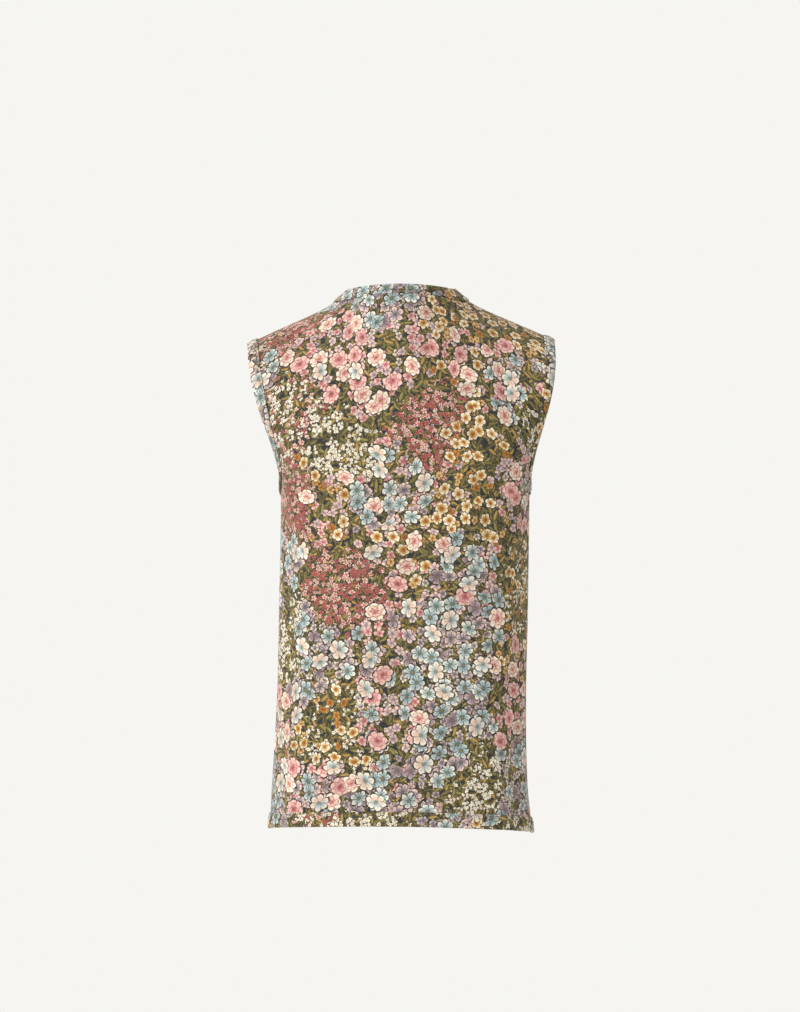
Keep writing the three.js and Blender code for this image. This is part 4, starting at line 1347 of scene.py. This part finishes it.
for name, line in stitchLines.items():
    dress(makeStitches("stitches_" + name, [stitchFrames(*line)], sewingThread), "tapestry_band")
print("stitches are in")

for name, made in panels.items():
    dress(made, "floral_tapestry", name)

# Buttons of turned horn: a rim round a dished face, four holes and thread in two bars
button = {"radius": 8, "thick": 3.2, "rim": 1.3, "dish": 0.7, "hole": 0.95, "holeOut": 1.75, "sides": 64,
          "holeSides": 20, "count": 5, "belowPoint": 24, "aboveHem": 62, "over": 2.5, "spin": 0.35}


def turnedButton():
    r, t = button["radius"], button["thick"]
    rim, dish = r - button["rim"], t - button["dish"]
    profile = [(0, 0), (0, r - 1.2), (0.25, r - 0.5), (0.75, r - 0.12), (1.4, r), (t - 0.7, r - 0.08),
               (t - 0.28, r - 0.3), (t, r - 0.65), (t - 0.06, rim), (t - 0.35, rim - 0.6),
               (dish, rim - 1.2), (dish - 0.12, 3.4), (dish - 0.12, 0)]
    blank = faceOutward(makeObject("button_blank", *turnedSolid(profile, button["sides"]), [horn]))
    drill = makeDrills()
    drilled = blank.modifiers.new("holes", "BOOLEAN")
    drilled.object, drilled.operation, drilled.solver = drill, "DIFFERENCE", "EXACT"
    ready = blank.evaluated_get(bpy.context.evaluated_depsgraph_get())
    mesh = bpy.data.meshes.new_from_object(ready)
    for made in (blank, drill):
        bpy.data.objects.remove(made)
    return mesh


def holePlaces():
    return [(button["holeOut"] * x, button["holeOut"] * y) for x, y in ((1, 1), (-1, 1), (-1, -1), (1, -1))]


def makeDrills():
    points, faces = [], []
    sides = button["holeSides"]
    for x, y in holePlaces():
        start = len(points)
        points += [(x + u, y + v, z) for z in (-1, button["thick"] + 1)
                   for u, v in circle(button["hole"], sides)]
        faces += ringFaces(2, sides, start, flipped=True)
        faces += [[start + k for k in range(sides)][::-1], [start + sides + k for k in range(sides)]]
    return makeObject("button_drills", points, faces, [horn], smooth=False)


# Thread through the holes: two bars of three strands each, arched from hole to hole
strands = {"radius": 0.24, "apart": 0.42, "past": 1.12, "sunk": 0.9, "arch": 1.35, "steps": 12, "sides": 7}


def buttonThread():
    vertices, faces = [], []
    s = strands
    for x in (-button["holeOut"], button["holeOut"]):
        for aside in (-s["apart"], 0.0, s["apart"]):
            faces += ringFaces(s["steps"] + 1, s["sides"], len(vertices), flipped=True)
            for i in range(s["steps"] + 1):
                turn = math.pi * (i / s["steps"])
                y = button["holeOut"] * (s["past"] * math.cos(turn))
                z = button["thick"] - button["dish"] - s["sunk"] + s["arch"] * math.sin(turn) ** 0.6
                vertices += [(x + aside + u, y, z + v) for u, v in circle(s["radius"], s["sides"])]
    return vertices, faces


buttonHeights = np.linspace(-cut["neckPointDrop"] - button["belowPoint"],
                            cut["hem"][front][0] + button["aboveHem"], button["count"])

# Worked buttonholes, upright, each with its button near the upper end
buttonhole = {"long": 19, "above": 3.5, "pitch": 0.85, "aside": 1.42, "height": 2.5, "barApart": 0.4,
              "nudge": 0.2}      # sideways, to find each stitch's direction


def makeButtonholes():
    frames = []
    for z in buttonHeights:
        rise = z + buttonhole["above"] - np.arange(0, buttonhole["long"], buttonhole["pitch"])
        ends = rise[[0, -1]]
        rows = [(side * buttonhole["aside"], rise) for side in (-1, 1)]
        rows += [(0.0, ends), (0.0, ends + buttonhole["barApart"])]
        for x, heights in rows:
            here, there = (surfaceOf(frontPlaceAt(np.full(heights.shape, at), heights), buttonhole["height"])
                           for at in (x, x + buttonhole["nudge"]))
            frames.append((here[0], unit(there[0] - here[0]), here[1]))
    dress(makeStitches("buttonhole_stitches", frames, sewingThread), "tapestry_band")


makeButtonholes()


def makeButtons():
    mesh = turnedButton()
    threadPoints, threadFaces = buttonThread()
    for i, z in enumerate(buttonHeights):
        points, normals = surfaceOf(frontPlaceAt(0, z), button["over"])
        turn = Vector(normals[0]).to_track_quat("Z", "X").to_matrix().to_4x4()
        spin = Matrix.Rotation(button["spin"] * i, 4, "Z")
        place = Matrix.Translation(Vector(points[0] * mm)) @ turn @ spin
        made = bpy.data.objects.new(f"button_{i + 1}_horn", mesh.copy())
        scene.collection.objects.link(made)
        made.matrix_world = place
        dress(made, "horn_button", f"button_{i + 1}")
        sewn = makeObject(f"button_{i + 1}_thread", threadPoints, threadFaces, [sewingThread])
        sewn.matrix_world = place
        dress(sewn, "horn_button")


makeButtons()
print("buttons are on")
